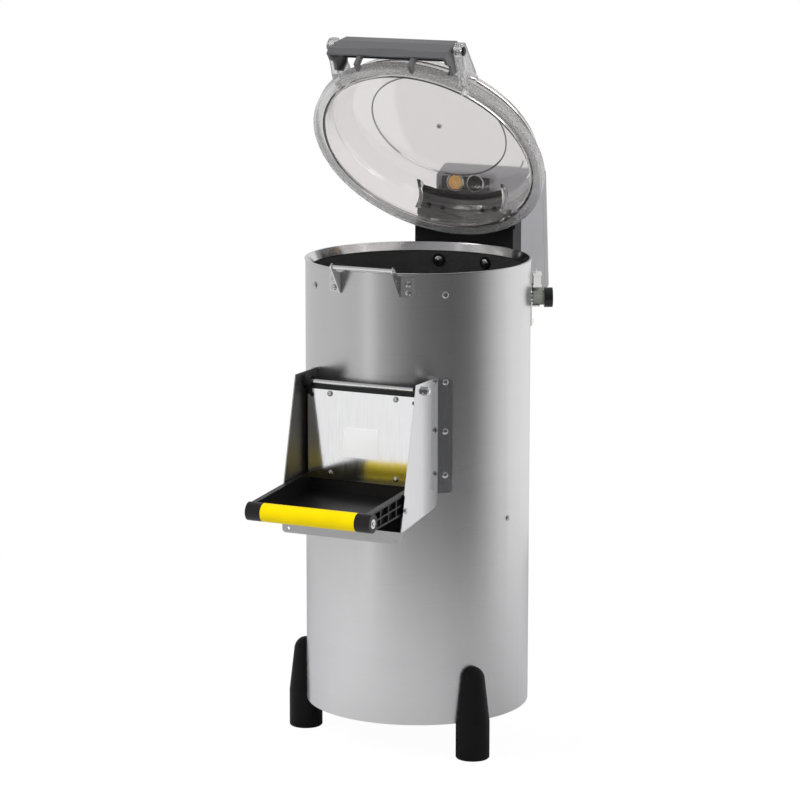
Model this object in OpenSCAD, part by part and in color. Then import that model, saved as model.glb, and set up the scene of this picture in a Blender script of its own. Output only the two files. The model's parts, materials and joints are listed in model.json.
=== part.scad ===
// Catering potato peeler: an upright drum with an abrasive turntable, a clear lid and a discharge door.
// +Z is up, the door faces -Y, and the origin is on the drum's axis at the floor. Lengths in millimetres.
// The lid is drawn closed and then turned open about its hinge pin, which is its place at rest.

/* [Drum] */
// Outer diameter of the drum shell
body_d = 300; // [290:1:320]
// Height of the drum from its lower edge to its rim
body_h = 601.4; // [590:0.2:640]
// Thickness of the drum sheet
body_wall = 1.5; // [1:0.1:2]
// Clear height under the drum
ground_gap = 48; // [44:1:70]
// How far the rim ring stands out past the shell
rim_lip = 1.1; // [0.5:0.1:3]
// Width of the rim ring's sloping face, seen from above
rim_slope_w = 5.4; // [4:0.1:8]
// Height of the rim ring's sloping face
rim_slope_h = 11; // [8:0.5:16]
// Thickness of the abrasive lining
liner_t = 4.2; // [3:0.1:6]

/* [Legs] */
// Diameter of a leg's foot
leg_d = 45; // [38:0.5:52]
// Diameter of a leg at the shoulder under its domed top
leg_top_d = 32; // [26:0.5:36]
// Height of a leg's straight foot
leg_foot_h = 50; // [46:1:60]
// Height of the shoulder under the domed top
leg_shoulder_h = 106; // [98:1:118]
// Overall height of a leg
leg_h = 124; // [120:1:136]
// Distance from the drum's surface to a leg's axis
leg_out = 3.4; // [2:0.1:8]
// Diameter of a leg bolt
leg_bolt_d = 8; // [6:0.5:10]

/* [Discharge door] */
// Height of the door's pivot rod above the floor
door_rod_z = 502.6; // [500:0.2:520]
// Distance from the drum's surface to the pivot rod's axis
door_rod_out = 13.7; // [12:0.1:18]
// Diameter of the pivot rod
door_rod_d = 6; // [5:0.5:8]
// Height of the discharge opening
opening_h = 130; // [124:1:134]
// Width of the door's steel cover plate
door_plate_w = 160; // [156:1:162]
// Height of the door's steel cover plate
door_plate_h = 118.5; // [110:0.5:120]
// Thickness of the door's steel cover plate
door_plate_t = 1.5; // [1:0.1:2]
// Height of the tray arms
arm_h = 28; // [22:0.5:30]
// Distance from the pivot rod forward to the handle's axis
handle_reach = 151; // [140:1:170]
// Distance from the pivot rod down to the handle's axis
handle_drop = 143.9; // [138:0.1:148]
// Diameter of the handle grip
grip_d = 24; // [20:0.5:28]
// Length of the handle grip
grip_l = 133; // [120:0.2:150]
// Diameter of the tube through the grip
handle_tube_d = 12; // [10:0.5:14]
// Thickness of the steel cheeks
cheek_t = 1.5; // [1:0.1:2]

/* [Rim latch] */
// Diameter of the latch rod
latch_rod_d = 5; // [4:0.5:6]
// Height of the latch rod over the rim
latch_rod_up = 5.7; // [5:0.1:8]
// Distance from the drum's surface to the latch rod's axis
latch_rod_out = 16.4; // [15:0.1:18]
// Distance between the latch brackets' inner faces
latch_w = 85.8; // [84:0.2:92]

/* [Lid] */
// How far the lid's flange stands out past the drum
lid_overhang = 10.4; // [9.4:0.2:11]
// Thickness of the clear moulding
lid_t = 3; // [2.5:0.1:3.5]
// Height of the skirt round the flange
lid_skirt_h = 12.6; // [10:0.2:14]
// Height of the lid's crown over its flange
lid_crown_h = 51.4; // [50:0.2:54]
// Gap left between the closed lid's flange and the rim
lid_gap = 1; // [0.5:0.1:2]
// Angle that the lid stands open at
lid_open = 49; // [45:0.5:49.5]
// Distance from the drum's surface to the lid's hinge pin
pivot_out = 10.3; // [10:0.1:14]
// Height of the lid's hinge pin over the rim
pivot_up = 39.3; // [38:0.1:42]
// Diameter of the lid's hinge pin
hinge_pin_d = 8; // [6:0.5:9]

/* [Lid handle] */
// Width of the lever handle at its top edge
lever_w = 159; // [150:1:162]
// Thickness of the lever handle's walls
lever_t = 3.5; // [3:0.1:4]
// Diameter of the lever's shoulder pins
lever_pin_d = 6; // [5:0.5:7]

/* [Control box] */
// Height of the box's top over the rim
box_up = 97.6; // [94:0.2:110]
// Height of the box from bottom to top
box_h = 171; // [150:1:190]
// Width of the box at its front
box_front_w = 88; // [80:1:94]
// Width of the box at its rear
box_rear_w = 162; // [150:1:170]
// Thickness of the box's walls
box_wall = 3; // [2.5:0.1:4]
// Diameter of the push buttons
button_d = 20; // [18:0.5:22]
// Distance between the two push buttons' axes
button_pitch = 30; // [28:0.5:34]
// How far a push button travels
button_travel = 3; // [2:0.5:4]

/* [Drive] */
// Height of the turntable's top under the discharge opening's lower edge
turntable_drop = 1; // [0.5:0.5:6]
// Radial gap between the turntable and the lining
turntable_gap = 3; // [2:0.5:5]
// Diameter of the drive shaft
shaft_d = 25; // [20:1:30]
// Outer diameter of the bearings
bearing_d = 52; // [47:1:56]
// Width of one bearing
bearing_w = 15; // [12:1:16]
// Pitch diameter of the driven pulley
pulley_big_d = 105; // [99:1:108]
// Pitch diameter of the motor pulley
pulley_small_d = 35; // [33:1:36]
// Distance between the two pulleys' axes
pulley_centres = 84; // [83:0.5:86]
// Diameter of the motor
motor_d = 116; // [100:1:118]
// Length of the motor
motor_l = 138; // [110:1:140]

/* [Water and drain] */
// Outer diameter of the threaded water inlet
inlet_d = 26.4; // [24:0.2:28]
// Outer diameter of the drain spout
drain_d = 40; // [32:1:42]

/* [Hidden] */
$fn = 96;
fit = 0.05;          // radial clearance of a pin in its bore
seat = 0.3;          // clearance between curved faces that lie together
body_r = body_d / 2;
shell_in_r = body_r - body_wall;
rim_z = ground_gap + body_h;
liner_out_r = shell_in_r - seat;
liner_in_r = liner_out_r - liner_t;
rim_seat_h = 1.5;    // height of the rim ring's flat part over the shell's edge
rim_flat = 2.1;      // width of that flat part inside the shell's surface

// Discharge door
rod_y = -(body_r + door_rod_out);
opening_w = door_plate_w - 12;
cheek_gap = door_plate_w + 12;
opening_top = door_rod_z - 10.6;
opening_bottom = opening_top - opening_h;
frame_t = 2;         // wall of the frame round the discharge opening
plate_front_y = rod_y - 2.2;
plate_back_y = plate_front_y + door_plate_t;
plate_top = door_rod_z - 9.1;
plate_bottom = plate_top - door_plate_h;
plug_clear = 1.5;    // side gap between the door's plug and the frame
plug_dip = 9;        // the plug's lower edge swings down this much less than it stands clear
plug_r = shell_in_r - 3;
door_back_r = body_r + 1.5;
door_half = door_plate_w / 2;
block_bottom = opening_bottom - 10;
block_top = door_rod_z - door_rod_d / 2 - seat;
plate_screw_x = door_half - 32.5;
plate_screws_z = [plate_top - 4.8, plate_bottom + 8.2];
arm_out = cheek_gap / 2 - 1.5;
arm_web_in = door_half - 3;
arm_web_out = door_half - 0.5;
handle_y = rod_y - handle_reach;
handle_z = door_rod_z - handle_drop;
arm_rear_top = block_bottom + 2.5 + arm_h;
arm_front_y = handle_y + 6;
arm_front_bottom = handle_z - grip_d / 2;
barrel_end = arm_out + 3.5;
cheek_in = cheek_gap / 2;
cheek_out = cheek_in + cheek_t;
cheek_top = door_rod_z + 11.7;
flange_az = 38.9;    // where the cheeks' bent flanges lie on the drum, from the front
flange_screws_z = [cheek_top - 6.8, cheek_top - 71.7, cheek_top - 129.6];
catch_screw = [rod_y - 56.5, door_rod_z - 146.1];
chute_rear_z = block_bottom - 10.5;
chute_front = [rod_y - 64.3, chute_rear_z - 12.2];
chute_t = 1.5;
chute_lip_h = 16;

// Rim latch
latch_y = -(body_r + latch_rod_out);
latch_z = rim_z + latch_rod_up;
latch_t = 1.5;
latch_foot_w = 17;
latch_foot_az = asin((latch_w / 2 + latch_t + latch_foot_w / 2) / body_r);
latch_screws_z = [rim_z - 13.5, rim_z - 24.6];

// Lid, drawn closed
lid_r = body_r + lid_overhang;
lid_z = rim_z + lid_gap;
pivot_y = body_r + pivot_out;
pivot_z = rim_z + pivot_up;
flange_in_r = lid_r - 17.1;
dome_r = lid_r - 12.4;
crown_r = lid_r - 64.5;
// Outer outline of the dome over the flange, as radius and height
dome_line = [
    [dome_r, lid_t], [dome_r - 1.7, lid_crown_h - 19.4], [dome_r - 4.6, lid_crown_h - 13],
    [dome_r - 9.5, lid_crown_h - 8.6], [dome_r - 24, lid_crown_h - 2.8], [crown_r, lid_crown_h]
];
bracket_half = 60;   // half width of the hinge bracket on the lid
upright_in = bracket_half + 2.5;
base_half = upright_in + 11;
hinge_bolt_az = 14.1;
hinge_bolt_z = rim_z - 24.2;
base_rear_y = body_r + 22;
ear_in = 86;         // inner face of the lid's front ears
ear_out = 96;

// Lever handle, drawn with the lid closed
lever_pin = [-(lid_r + 12.5), lid_z + 23.8];
lever_top = [-(lid_r + 7.5), lid_z + 45.2];
lever_front = [-(lid_r + 28.6), lid_z + 1.6];
lever_low_w = lever_w + 11;
hook_x = latch_w / 2 - 2;
hook_t = 5;

// Control box
box_top = rim_z + box_up;
box_bottom = box_top - box_h;
box_front_y = body_r + 1;
box_step_y = base_rear_y;
box_seam_y = box_front_y + 86;
box_back_y = box_seam_y + 15;
box_lean = 7;        // the rear wall leans out this much towards the bottom
box_corner = 8;
overhang_z = rim_z + 68;
button_z = box_top - 14.5;
bezel_r = button_d / 2 + 3;
fascia_t = 1.5;
fascia_w = box_front_w - 16;
switch_neck_r = button_d / 2 + 1.2;

// Drive
turntable_top = opening_bottom - turntable_drop;
turntable_t = 10;
turntable_r = liner_in_r - turntable_gap;
floor_z = turntable_top - 56;
floor_t = 2;
floor_flange_h = 20;
floor_screw_z = floor_z + 10;
shaft_r = shaft_d / 2;
housing_h = 52;
housing_wall = 9;
housing_r = bearing_d / 2 + housing_wall;
housing_flange_r = housing_r + 20;
pulley_h = 18;
pulley_z = floor_z - housing_h - 6 - pulley_h;
belt_w = 10;
belt_t = 6;
belt_gap = 0.3;
motor_plate_t = 5;
motor_plate_z = pulley_z - 7 - motor_plate_t;
motor_plate_r = 132;
spacer_r = 6;
spacer_at = 120;
motor_shaft_r = 9.5;
motor_y = -pulley_centres;
motor_az = 230;      // the motor's side of the drum, from the front
pan_flange_h = 70;
pan_t = 1.5;
leg_bolt_z = [ground_gap + 24, ground_gap + 54];
leg_axis_r = body_r + leg_out;
leg_az = [54, -72.2, 171];

// Water and drain
valve_az = 118;
valve_z = rim_z - 55;
drain_az = 180;
drain_z = floor_z + floor_t + drain_d / 2 + 3;
drain_hose_at = body_r + 7;
drain_hose_l = 40;
wall_screw_az = 38.9;
wall_screw_z = rim_z - 28.1;
screw_r = 2.5;

// ---- Helpers ----

// Places its children at an angle round the drum from the front, where they face outwards along -Y
module at_az(az) {
    rotate([0, 0, az]) children();
}

// Draws its children, made along +Z, pointing straight out of the drum at a radius, angle and height
module outward(az, radius, z) {
    at_az(az) translate([0, -radius, z]) rotate([90, 0, 0]) children();
}

// A vertical ring
module ring(outer, inner, z, h) {
    translate([0, 0, z]) difference() {
        cylinder(r = outer, h = h);
        translate([0, 0, -1]) cylinder(r = inner, h = h + 2);
    }
}

// A screw along +Z with its seat at zero: a domed head above and a shank below
module dome_screw(head_r, head_h, shank_r, shank_l) {
    rotate_extrude() polygon([
        [0, -shank_l], [shank_r, -shank_l], [shank_r, 0], [head_r, 0], [head_r, 0.25 * head_h],
        [0.88 * head_r, 0.62 * head_h], [0.6 * head_r, 0.88 * head_h], [0, head_h]
    ]);
}

// A hexagon nut or head along +Z, by its width across the flats
module hexagon(flats, h) {
    cylinder(d = flats / cos(30), h = h, $fn = 6);
}

// Extrudes a side view, drawn as (y, z), across X
module across(x0, x1) {
    translate([x0, 0, 0]) rotate([90, 0, 90]) linear_extrude(height = x1 - x0) children();
}

// Turns its children about an axis along X through (y, z)
module swing(y, z, angle) {
    translate([0, y, z]) rotate([angle, 0, 0]) translate([0, -y, -z]) children();
}

// The lid's place at rest
module opened() {
    swing(pivot_y, pivot_z, -lid_open) children();
}

// Both sides of the machine
module both_sides() {
    children();
    mirror([1, 0, 0]) children();
}

// ---- Drum ----

module opening_cut(grow) {
    translate([-opening_w / 2 - grow, -body_r - 20, opening_bottom - grow])
        cube([opening_w + 2 * grow, 70, opening_h + 2 * grow]);
}

module screw_holes(radius) {
    for (az = [-wall_screw_az, wall_screw_az]) outward(az, body_r + 5, wall_screw_z)
        translate([0, 0, -15]) cylinder(r = radius, h = 20, $fn = 24);
    for (az = [78, 168, 258, 348]) outward(az, body_r + 5, floor_screw_z)
        translate([0, 0, -15]) cylinder(r = radius, h = 20, $fn = 24);
}

module hinge_bolt_holes(radius) {
    for (s = [-1, 1]) outward(180 + s * hinge_bolt_az, body_r + 40, hinge_bolt_z)
        translate([0, 0, -60]) cylinder(r = radius, h = 60, $fn = 24);
}

module drain_hole() {
    outward(drain_az, body_r + 5, drain_z) translate([0, 0, -30]) cylinder(d = drain_d + 2 * seat, h = 40);
}

module body_shell() color("#b3b3b6") {
    difference() {
        ring(body_r, shell_in_r, ground_gap, body_h - rim_seat_h);
        opening_cut(0);
        screw_holes(screw_r + fit);
        hinge_bolt_holes(3 + fit);
        for (s = [-1, 1]) for (z = latch_screws_z) outward(s * latch_foot_az, body_r + 5, z)
            translate([0, 0, -15]) cylinder(r = screw_r + fit, h = 20, $fn = 24);
        for (s = [-1, 1]) for (z = flange_screws_z) outward(s * flange_az, body_r + 5, z)
            translate([0, 0, -15]) cylinder(r = screw_r + fit, h = 20, $fn = 24);
        for (az = leg_az) for (z = leg_bolt_z) outward(az, body_r + 5, z)
            translate([0, 0, -15]) cylinder(d = leg_bolt_d + 2 * fit, h = 20, $fn = 32);
        drain_hole();
        outward(valve_az, body_r + 5, valve_z) translate([0, 0, -15]) cylinder(r = 7, h = 20);
        outward(valve_az, body_r + 5, valve_z - 32) translate([0, 0, -15])
            cylinder(r = screw_r + fit, h = 20, $fn = 24);
    }
}

module rim_ring() color("#c9c9cc") {
    low = rim_z - rim_slope_h;
    in_r = body_r - rim_flat - rim_slope_w;
    rotate_extrude() polygon([
        [shell_in_r - 0.1, rim_z - rim_seat_h], [body_r + rim_lip, rim_z - rim_seat_h],
        [body_r + rim_lip, rim_z - 0.5], [body_r + rim_lip - 0.5, rim_z], [body_r - rim_flat, rim_z],
        [in_r, low], [in_r + 0.9, low - 0.45]
    ]);
}

module abrasive_liner() color("#2b2a29") {
    low = turntable_top - 9;
    high = rim_z - rim_slope_h - 1.5;
    difference() {
        ring(liner_out_r, liner_in_r, low, high - low);
        opening_cut(0);
        screw_holes(screw_r + fit);
        hinge_bolt_holes(3 + fit);
        outward(valve_az, body_r + 5, valve_z) translate([0, 0, -15]) cylinder(r = 7, h = 20);
        for (s = [-1, 1]) for (z = latch_screws_z) outward(s * latch_foot_az, body_r + 5, z)
            translate([0, 0, -20]) cylinder(r = screw_r + 1, h = 25, $fn = 24);
        for (s = [-1, 1]) for (z = flange_screws_z) outward(s * flange_az, body_r + 5, z)
            translate([0, 0, -20]) cylinder(r = screw_r + 1, h = 25, $fn = 24);
    }
}

module drum_floor() color("#a9a9ac") {
    difference() {
        union() {
            translate([0, 0, floor_z]) cylinder(r = liner_out_r, h = floor_t);
            ring(liner_out_r, liner_out_r - 1.5, floor_z, floor_flange_h);
        }
        translate([0, 0, floor_z - 1]) cylinder(d = bearing_d + 2 * seat, h = 10);
        screw_holes(screw_r + fit);
        drain_hole();
        housing_bolt_places() translate([0, 0, -20]) cylinder(r = 3 + fit, h = 40, $fn = 24);
        spacer_places() translate([0, 0, -20]) cylinder(r = 3 + fit, h = 40, $fn = 24);
    }
}

module base_pan() color("#a9a9ac") {
    difference() {
        union() {
            translate([0, 0, ground_gap]) cylinder(r = liner_out_r, h = pan_t);
            ring(liner_out_r, liner_out_r - pan_t, ground_gap, pan_flange_h);
        }
        for (az = leg_az) for (z = leg_bolt_z) outward(az, body_r + 5, z)
            translate([0, 0, -15]) cylinder(d = leg_bolt_d + 2 * fit, h = 20, $fn = 32);
        // Air slots under the motor
        for (i = [-3:3]) at_az(motor_az) translate([i * 14 - 3, motor_y - 36, ground_gap - 1])
            cube([6, 72, pan_t + 2]);
    }
}

module leg(az) color("#1c1c1e") {
    dome_r = leg_top_d / 2;
    dome_h = leg_h - leg_shoulder_h;
    difference() {
        at_az(az) translate([0, -leg_axis_r, 0]) rotate_extrude() polygon(concat(
            [[0, 0], [leg_d / 2 - 1.5, 0], [leg_d / 2, 1.5], [leg_d / 2, leg_foot_h]],
            [for (a = [0:15:75]) [dome_r * cos(a), leg_shoulder_h + dome_h * sin(a)]],
            [[0, leg_h]]
        ));
        translate([0, 0, ground_gap]) cylinder(r = body_r + seat, h = leg_h);
        for (z = leg_bolt_z) outward(az, body_r + 14, z)
            translate([0, 0, -20]) cylinder(d = leg_bolt_d + 2 * fit, h = 20, $fn = 32);
    }
}

module leg_front_right() { leg(leg_az[0]); }

module leg_front_left() { leg(leg_az[1]); }

module leg_rear() { leg(leg_az[2]); }

module leg_bolts() color("#8f9092") {
    for (az = leg_az) for (z = leg_bolt_z) outward(az, liner_out_r - pan_t - seat, z) {
        cylinder(d = leg_bolt_d, h = body_r + 13 - (liner_out_r - pan_t - seat), $fn = 32);
        translate([0, 0, -5]) hexagon(leg_bolt_d * 1.6, 5);
    }
}

module drum_screws() color("#d9d9db") {
    for (az = [-wall_screw_az, wall_screw_az]) outward(az, body_r + seat, wall_screw_z)
        dome_screw(4.6, 2.6, screw_r, 9);
    for (az = [78, 168, 258, 348]) outward(az, body_r + seat, floor_screw_z)
        dome_screw(3.6, 2.2, screw_r, 5);
    for (s = [-1, 1]) for (z = latch_screws_z) outward(s * latch_foot_az, body_r + latch_t + 2 * seat, z)
        dome_screw(4, 2.4, screw_r, 6);
}

// ---- Discharge opening, chute and cheeks ----

module discharge_frame() color("#9fa0a2") {
    difference() {
        intersection() {
            ring(body_r - 0.1, liner_in_r + 0.1, opening_bottom + 0.1, opening_h - 0.2);
            opening_cut(-0.1);
        }
        opening_cut(-frame_t);
    }
}

module discharge_chute() color("#c4c5c8") {
    slope_rear_y = -body_r + 30;
    slope = (chute_rear_z - chute_front[1]) / (-body_r - chute_front[0]);
    rear_z = chute_rear_z + slope * (slope_rear_y + body_r);
    difference() {
        across(-cheek_in, cheek_in) polygon([
            [slope_rear_y, rear_z], [chute_front[0], chute_front[1]],
            [chute_front[0], chute_front[1] - chute_lip_h],
            [chute_front[0] + chute_t, chute_front[1] - chute_lip_h],
            [chute_front[0] + chute_t, chute_front[1] - chute_t], [slope_rear_y, rear_z - chute_t]
        ]);
        cylinder(r = body_r + seat / 2, h = rim_z);
        // Small hole in each end of the lip, and its rounded corners
        both_sides() translate([cheek_in - 9, chute_front[0] - 1, chute_front[1] - chute_lip_h + 6])
            rotate([-90, 0, 0]) cylinder(r = 2, h = 5, $fn = 24);
        both_sides() translate([cheek_in, chute_front[0] - 1, chute_front[1] - chute_lip_h])
            difference() {
                translate([-5, 0, -1]) cube([6, chute_t + 2, 6]);
                translate([-5, -1, 5]) rotate([-90, 0, 0]) cylinder(r = 5, h = chute_t + 4, $fn = 32);
            }
    }
}

module cheek() {
    rear_y = -sqrt(pow(body_r + seat, 2) - pow(cheek_in, 2));
    flange_bottom = cheek_top - 153.3;
    flange_top = cheek_top - 3.3;
    difference() {
        union() {
            across(cheek_in, cheek_out) polygon([
                [rear_y, cheek_top], [rod_y - 23.8, cheek_top], [rod_y - 69.3, chute_front[1] + 1],
                [rear_y - 8, chute_rear_z + 1.5], [rear_y, chute_rear_z + 9]
            ]);
            at_az(flange_az) translate([0, -body_r - seat / 2, 0]) rotate([90, 0, 0])
                linear_extrude(height = cheek_t) flange_outline(flange_bottom, flange_top);
        }
        translate([0, rod_y, door_rod_z]) rotate([0, 90, 0])
            cylinder(d = door_rod_d + 2 * fit, h = cheek_out + 5);
        translate([0, catch_screw[0], catch_screw[1]]) rotate([0, 90, 0])
            cylinder(r = 2 + fit, h = cheek_out + 5, $fn = 24);
        for (z = flange_screws_z) outward(flange_az, body_r + 10, z)
            translate([0, 0, -20]) cylinder(r = screw_r + fit, h = 25, $fn = 24);
    }
}

// The flange's outline, drawn flat: x runs round the drum and y is its height
module flange_outline(low, high) {
    inner = -(flange_az_reach());
    outer = 10;
    corner = 4;
    polygon(concat(
        [[inner, low], [outer - corner, low]],
        [for (a = [-90:15:0]) [outer - corner + corner * cos(a), low + corner + corner * sin(a)]],
        [for (a = [0:15:90]) [outer - corner + corner * cos(a), high - corner + corner * sin(a)]],
        [[inner, high]]
    ));
}

// How far round the drum the flange reaches inwards from its screws to meet the cheek
function flange_az_reach() = (body_r * sin(flange_az) - cheek_in) / cos(flange_az) - 0.2;

module cheek_right() color("#d2d3d6") { cheek(); }

module cheek_left() color("#d2d3d6") { mirror([1, 0, 0]) cheek(); }

module cheek_screws() color("#e0e0e2") {
    for (s = [-1, 1]) for (z = flange_screws_z) outward(s * flange_az, body_r + cheek_t + 1.5 * seat, z)
        dome_screw(4.2, 2.6, screw_r, 6);
    both_sides() translate([cheek_out + 0.1, catch_screw[0], catch_screw[1]]) rotate([0, 90, 0])
        dome_screw(3.6, 2.2, 2, cheek_t + 0.1);
}

module door_pivot_rod() color("#cfd0d2") {
    translate([-cheek_out - 7, rod_y, door_rod_z]) rotate([0, 90, 0])
        cylinder(d = door_rod_d, h = 2 * cheek_out + 14, $fn = 48);
}

module rod_nuts() color("#8d8e90") {
    both_sides() translate([cheek_out, rod_y, door_rod_z]) rotate([0, 90, 0]) difference() {
        union() {
            cylinder(r = door_rod_d, h = 1);
            translate([0, 0, 1]) hexagon(door_rod_d + 4, 4.5);
        }
        translate([0, 0, -1]) cylinder(d = door_rod_d + 2 * fit, h = 12, $fn = 48);
    }
}

// ---- Discharge door ----

// Side view of an arm, between the door and the handle's barrel
module arm_side(inset) {
    polygon([
        [plate_back_y + 2, block_bottom + 2.5 + inset], [arm_front_y - 8, arm_front_bottom + inset],
        [arm_front_y - 8, arm_front_bottom + grip_d - inset], [plate_back_y + 2, arm_rear_top - inset]
    ]);
}

module tray_arm() {
    rib_t = 2.2;
    ribs = 6;
    rib_from = plate_front_y - 8;
    rib_step = (rib_from - arm_front_y) / ribs;
    // Web, then the raised border, the mid rib and the upright ribs outside of it
    across(arm_web_in, arm_web_out) arm_side(0);
    difference() {
        across(arm_web_out - 0.1, arm_out) arm_side(0);
        across(arm_web_out, arm_out + 1) arm_side(2.6);
        across(arm_web_out - 1, arm_out + 1)
            translate([plate_front_y - 2, 0]) square([62, rim_z]);
    }
    intersection() {
        across(arm_web_out - 0.1, arm_out) arm_side(0.1);
        union() {
            for (i = [0:ribs])
                translate([arm_web_out - 0.1, rib_from - i * rib_step - rib_t / 2, block_bottom])
                    cube([arm_out - arm_web_out + 0.1, rib_t, arm_h + 10]);
            across(arm_web_out - 0.1, arm_out) mid_rib(rib_t, rib_from);
        }
    }
    // Barrel that holds the end of the handle tube
    translate([grip_l / 2 + 0.2, handle_y, handle_z]) rotate([0, 90, 0])
        cylinder(d = grip_d, h = barrel_end - grip_l / 2 - 0.2);
}

module mid_rib(t, from_y) {
    rear_mid = block_bottom + 2.5 + arm_h / 2;
    polygon([
        [from_y, rear_mid - t / 2], [arm_front_y, handle_z - t / 2],
        [arm_front_y, handle_z + t / 2], [from_y, rear_mid + t / 2]
    ]);
}

module door_block() {
    difference() {
        translate([-door_half, plate_back_y, block_bottom])
            cube([door_plate_w, 60, block_top - block_bottom]);
        cylinder(r = door_back_r, h = rim_z);
        // Pockets between the stiffening ribs, under the steel plate
        for (x = [-1, 0, 1]) for (z = [0, 1]) {
            pocket_w = (door_plate_w - 28 - 8) / 3;
            pocket_h = (door_plate_h - 38) / 2;
            difference() {
                translate([
                    x * (pocket_w + 4) - pocket_w / 2, plate_back_y - 1,
                    plate_bottom + 19 + z * (pocket_h + 4)
                ]) cube([pocket_w, 60, pocket_h - 4]);
                cylinder(r = door_back_r + 2, h = rim_z);
            }
        }
    }
}

module door_plug() {
    half = opening_w / 2 - frame_t - plug_clear;
    low = opening_bottom + frame_t + plug_dip;
    high = opening_top - 4;
    intersection() {
        ring(door_back_r + 0.1, plug_r, low, high - low);
        translate([-half, -body_r - 10, low]) cube([2 * half, 60, high - low]);
    }
}

module door_ears() {
    both_sides() {
        translate([door_half - 6, rod_y, door_rod_z]) rotate([0, 90, 0])
            cylinder(r = 8, h = arm_out - door_half + 6);
        translate([door_half - 6, plate_back_y, plate_top]) cube([arm_out - door_half + 6, 9, 9]);
    }
}

module door_body() color("#202022") {
    floor_t2 = 2.5;
    difference() {
        union() {
            door_block();
            door_plug();
            door_ears();
            both_sides() tray_arm();
            // Tray floor between the arms
            across(-arm_web_in - 0.1, arm_web_in + 0.1) polygon([
                [plate_back_y + 1, block_bottom + 2.5], [handle_y + grip_d / 2 + 1, arm_front_bottom + 0.7],
                [handle_y + grip_d / 2 + 1, arm_front_bottom + 0.7 + floor_t2],
                [plate_back_y + 1, block_bottom + 2.5 + floor_t2]
            ]);
        }
        // Room for the steel plate
        translate([-door_half - 0.1, plate_front_y - 0.3, plate_bottom - 0.1])
            cube([door_plate_w + 0.2, door_plate_t + 0.3, 200]);
        // Bore for the pivot rod, and room for the bare rod between the ears
        translate([-door_half - 20, rod_y, door_rod_z]) rotate([0, 90, 0])
            cylinder(d = door_rod_d + 2 * fit, h = door_plate_w + 40, $fn = 48);
        translate([-door_half + 6, rod_y, door_rod_z]) rotate([0, 90, 0])
            cylinder(d = door_rod_d + 2 * seat, h = door_plate_w - 12, $fn = 48);
        // Bores for the handle tube and the plate's screws
        translate([-barrel_end - 5, handle_y, handle_z]) rotate([0, 90, 0])
            cylinder(d = handle_tube_d + 2 * fit, h = 2 * barrel_end + 10);
        for (s = [-1, 1]) for (z = plate_screws_z) translate([s * plate_screw_x, plate_back_y - 1, z])
            rotate([-90, 0, 0]) cylinder(r = 2 + fit, h = 9, $fn = 24);
    }
}

module door_seal() color("#3a3a3c") {
    inner_half = opening_w / 2 - frame_t - plug_clear + 0.4;
    low = opening_bottom + frame_t + plug_dip - 0.4;
    high = opening_top - 3.6;
    difference() {
        intersection() {
            ring(door_back_r - 0.05, body_r + seat, block_bottom + 2, block_top - block_bottom - 4);
            translate([-door_half + 1, -body_r - 10, block_bottom + 2])
                cube([door_plate_w - 2, 60, block_top - block_bottom - 4]);
        }
        translate([-inner_half, -body_r - 20, low]) cube([2 * inner_half, 60, high - low]);
    }
}

module door_plate() color("#dcdde0") {
    difference() {
        translate([-door_half, plate_front_y, plate_bottom]) cube([door_plate_w, door_plate_t, door_plate_h]);
        both_sides() translate([door_half - 6.3, plate_front_y - 1, plate_top - 8])
            cube([10, door_plate_t + 2, 10]);
        both_sides() translate([door_half - 6.3, plate_front_y - 1, plate_top - 8]) rotate([-90, 0, 0])
            cylinder(r = 3, h = door_plate_t + 2, $fn = 32);
        for (s = [-1, 1]) for (z = plate_screws_z) translate([s * plate_screw_x, plate_front_y - 1, z])
            rotate([-90, 0, 0]) cylinder(r = 2 + fit, h = door_plate_t + 2, $fn = 24);
    }
}

module door_screws() color("#c9cacc") {
    for (s = [-1, 1]) for (z = plate_screws_z) translate([s * plate_screw_x, plate_front_y, z])
        rotate([90, 0, 0]) dome_screw(3.8, 2.2, 2, door_plate_t + 6);
    both_sides() translate([barrel_end + 0.2, handle_y, handle_z]) rotate([0, 90, 0])
        dome_screw(3.4, 1.4, 2, 10);
}

module handle_tube() color("#c9cacc") {
    difference() {
        translate([-barrel_end - 0.2, handle_y, handle_z]) rotate([0, 90, 0])
            cylinder(d = handle_tube_d, h = 2 * barrel_end + 0.4);
        both_sides() translate([barrel_end + 1, handle_y, handle_z]) rotate([0, -90, 0])
            cylinder(r = 2 + fit, h = 14, $fn = 24);
    }
}

module handle_grip() color("#ffe000") {
    difference() {
        translate([-grip_l / 2, handle_y, handle_z]) rotate([0, 90, 0]) cylinder(d = grip_d, h = grip_l);
        translate([-grip_l, handle_y, handle_z]) rotate([0, 90, 0])
            cylinder(d = handle_tube_d + 2 * fit, h = 2 * grip_l);
    }
}

// ---- Rim latch ----

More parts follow.
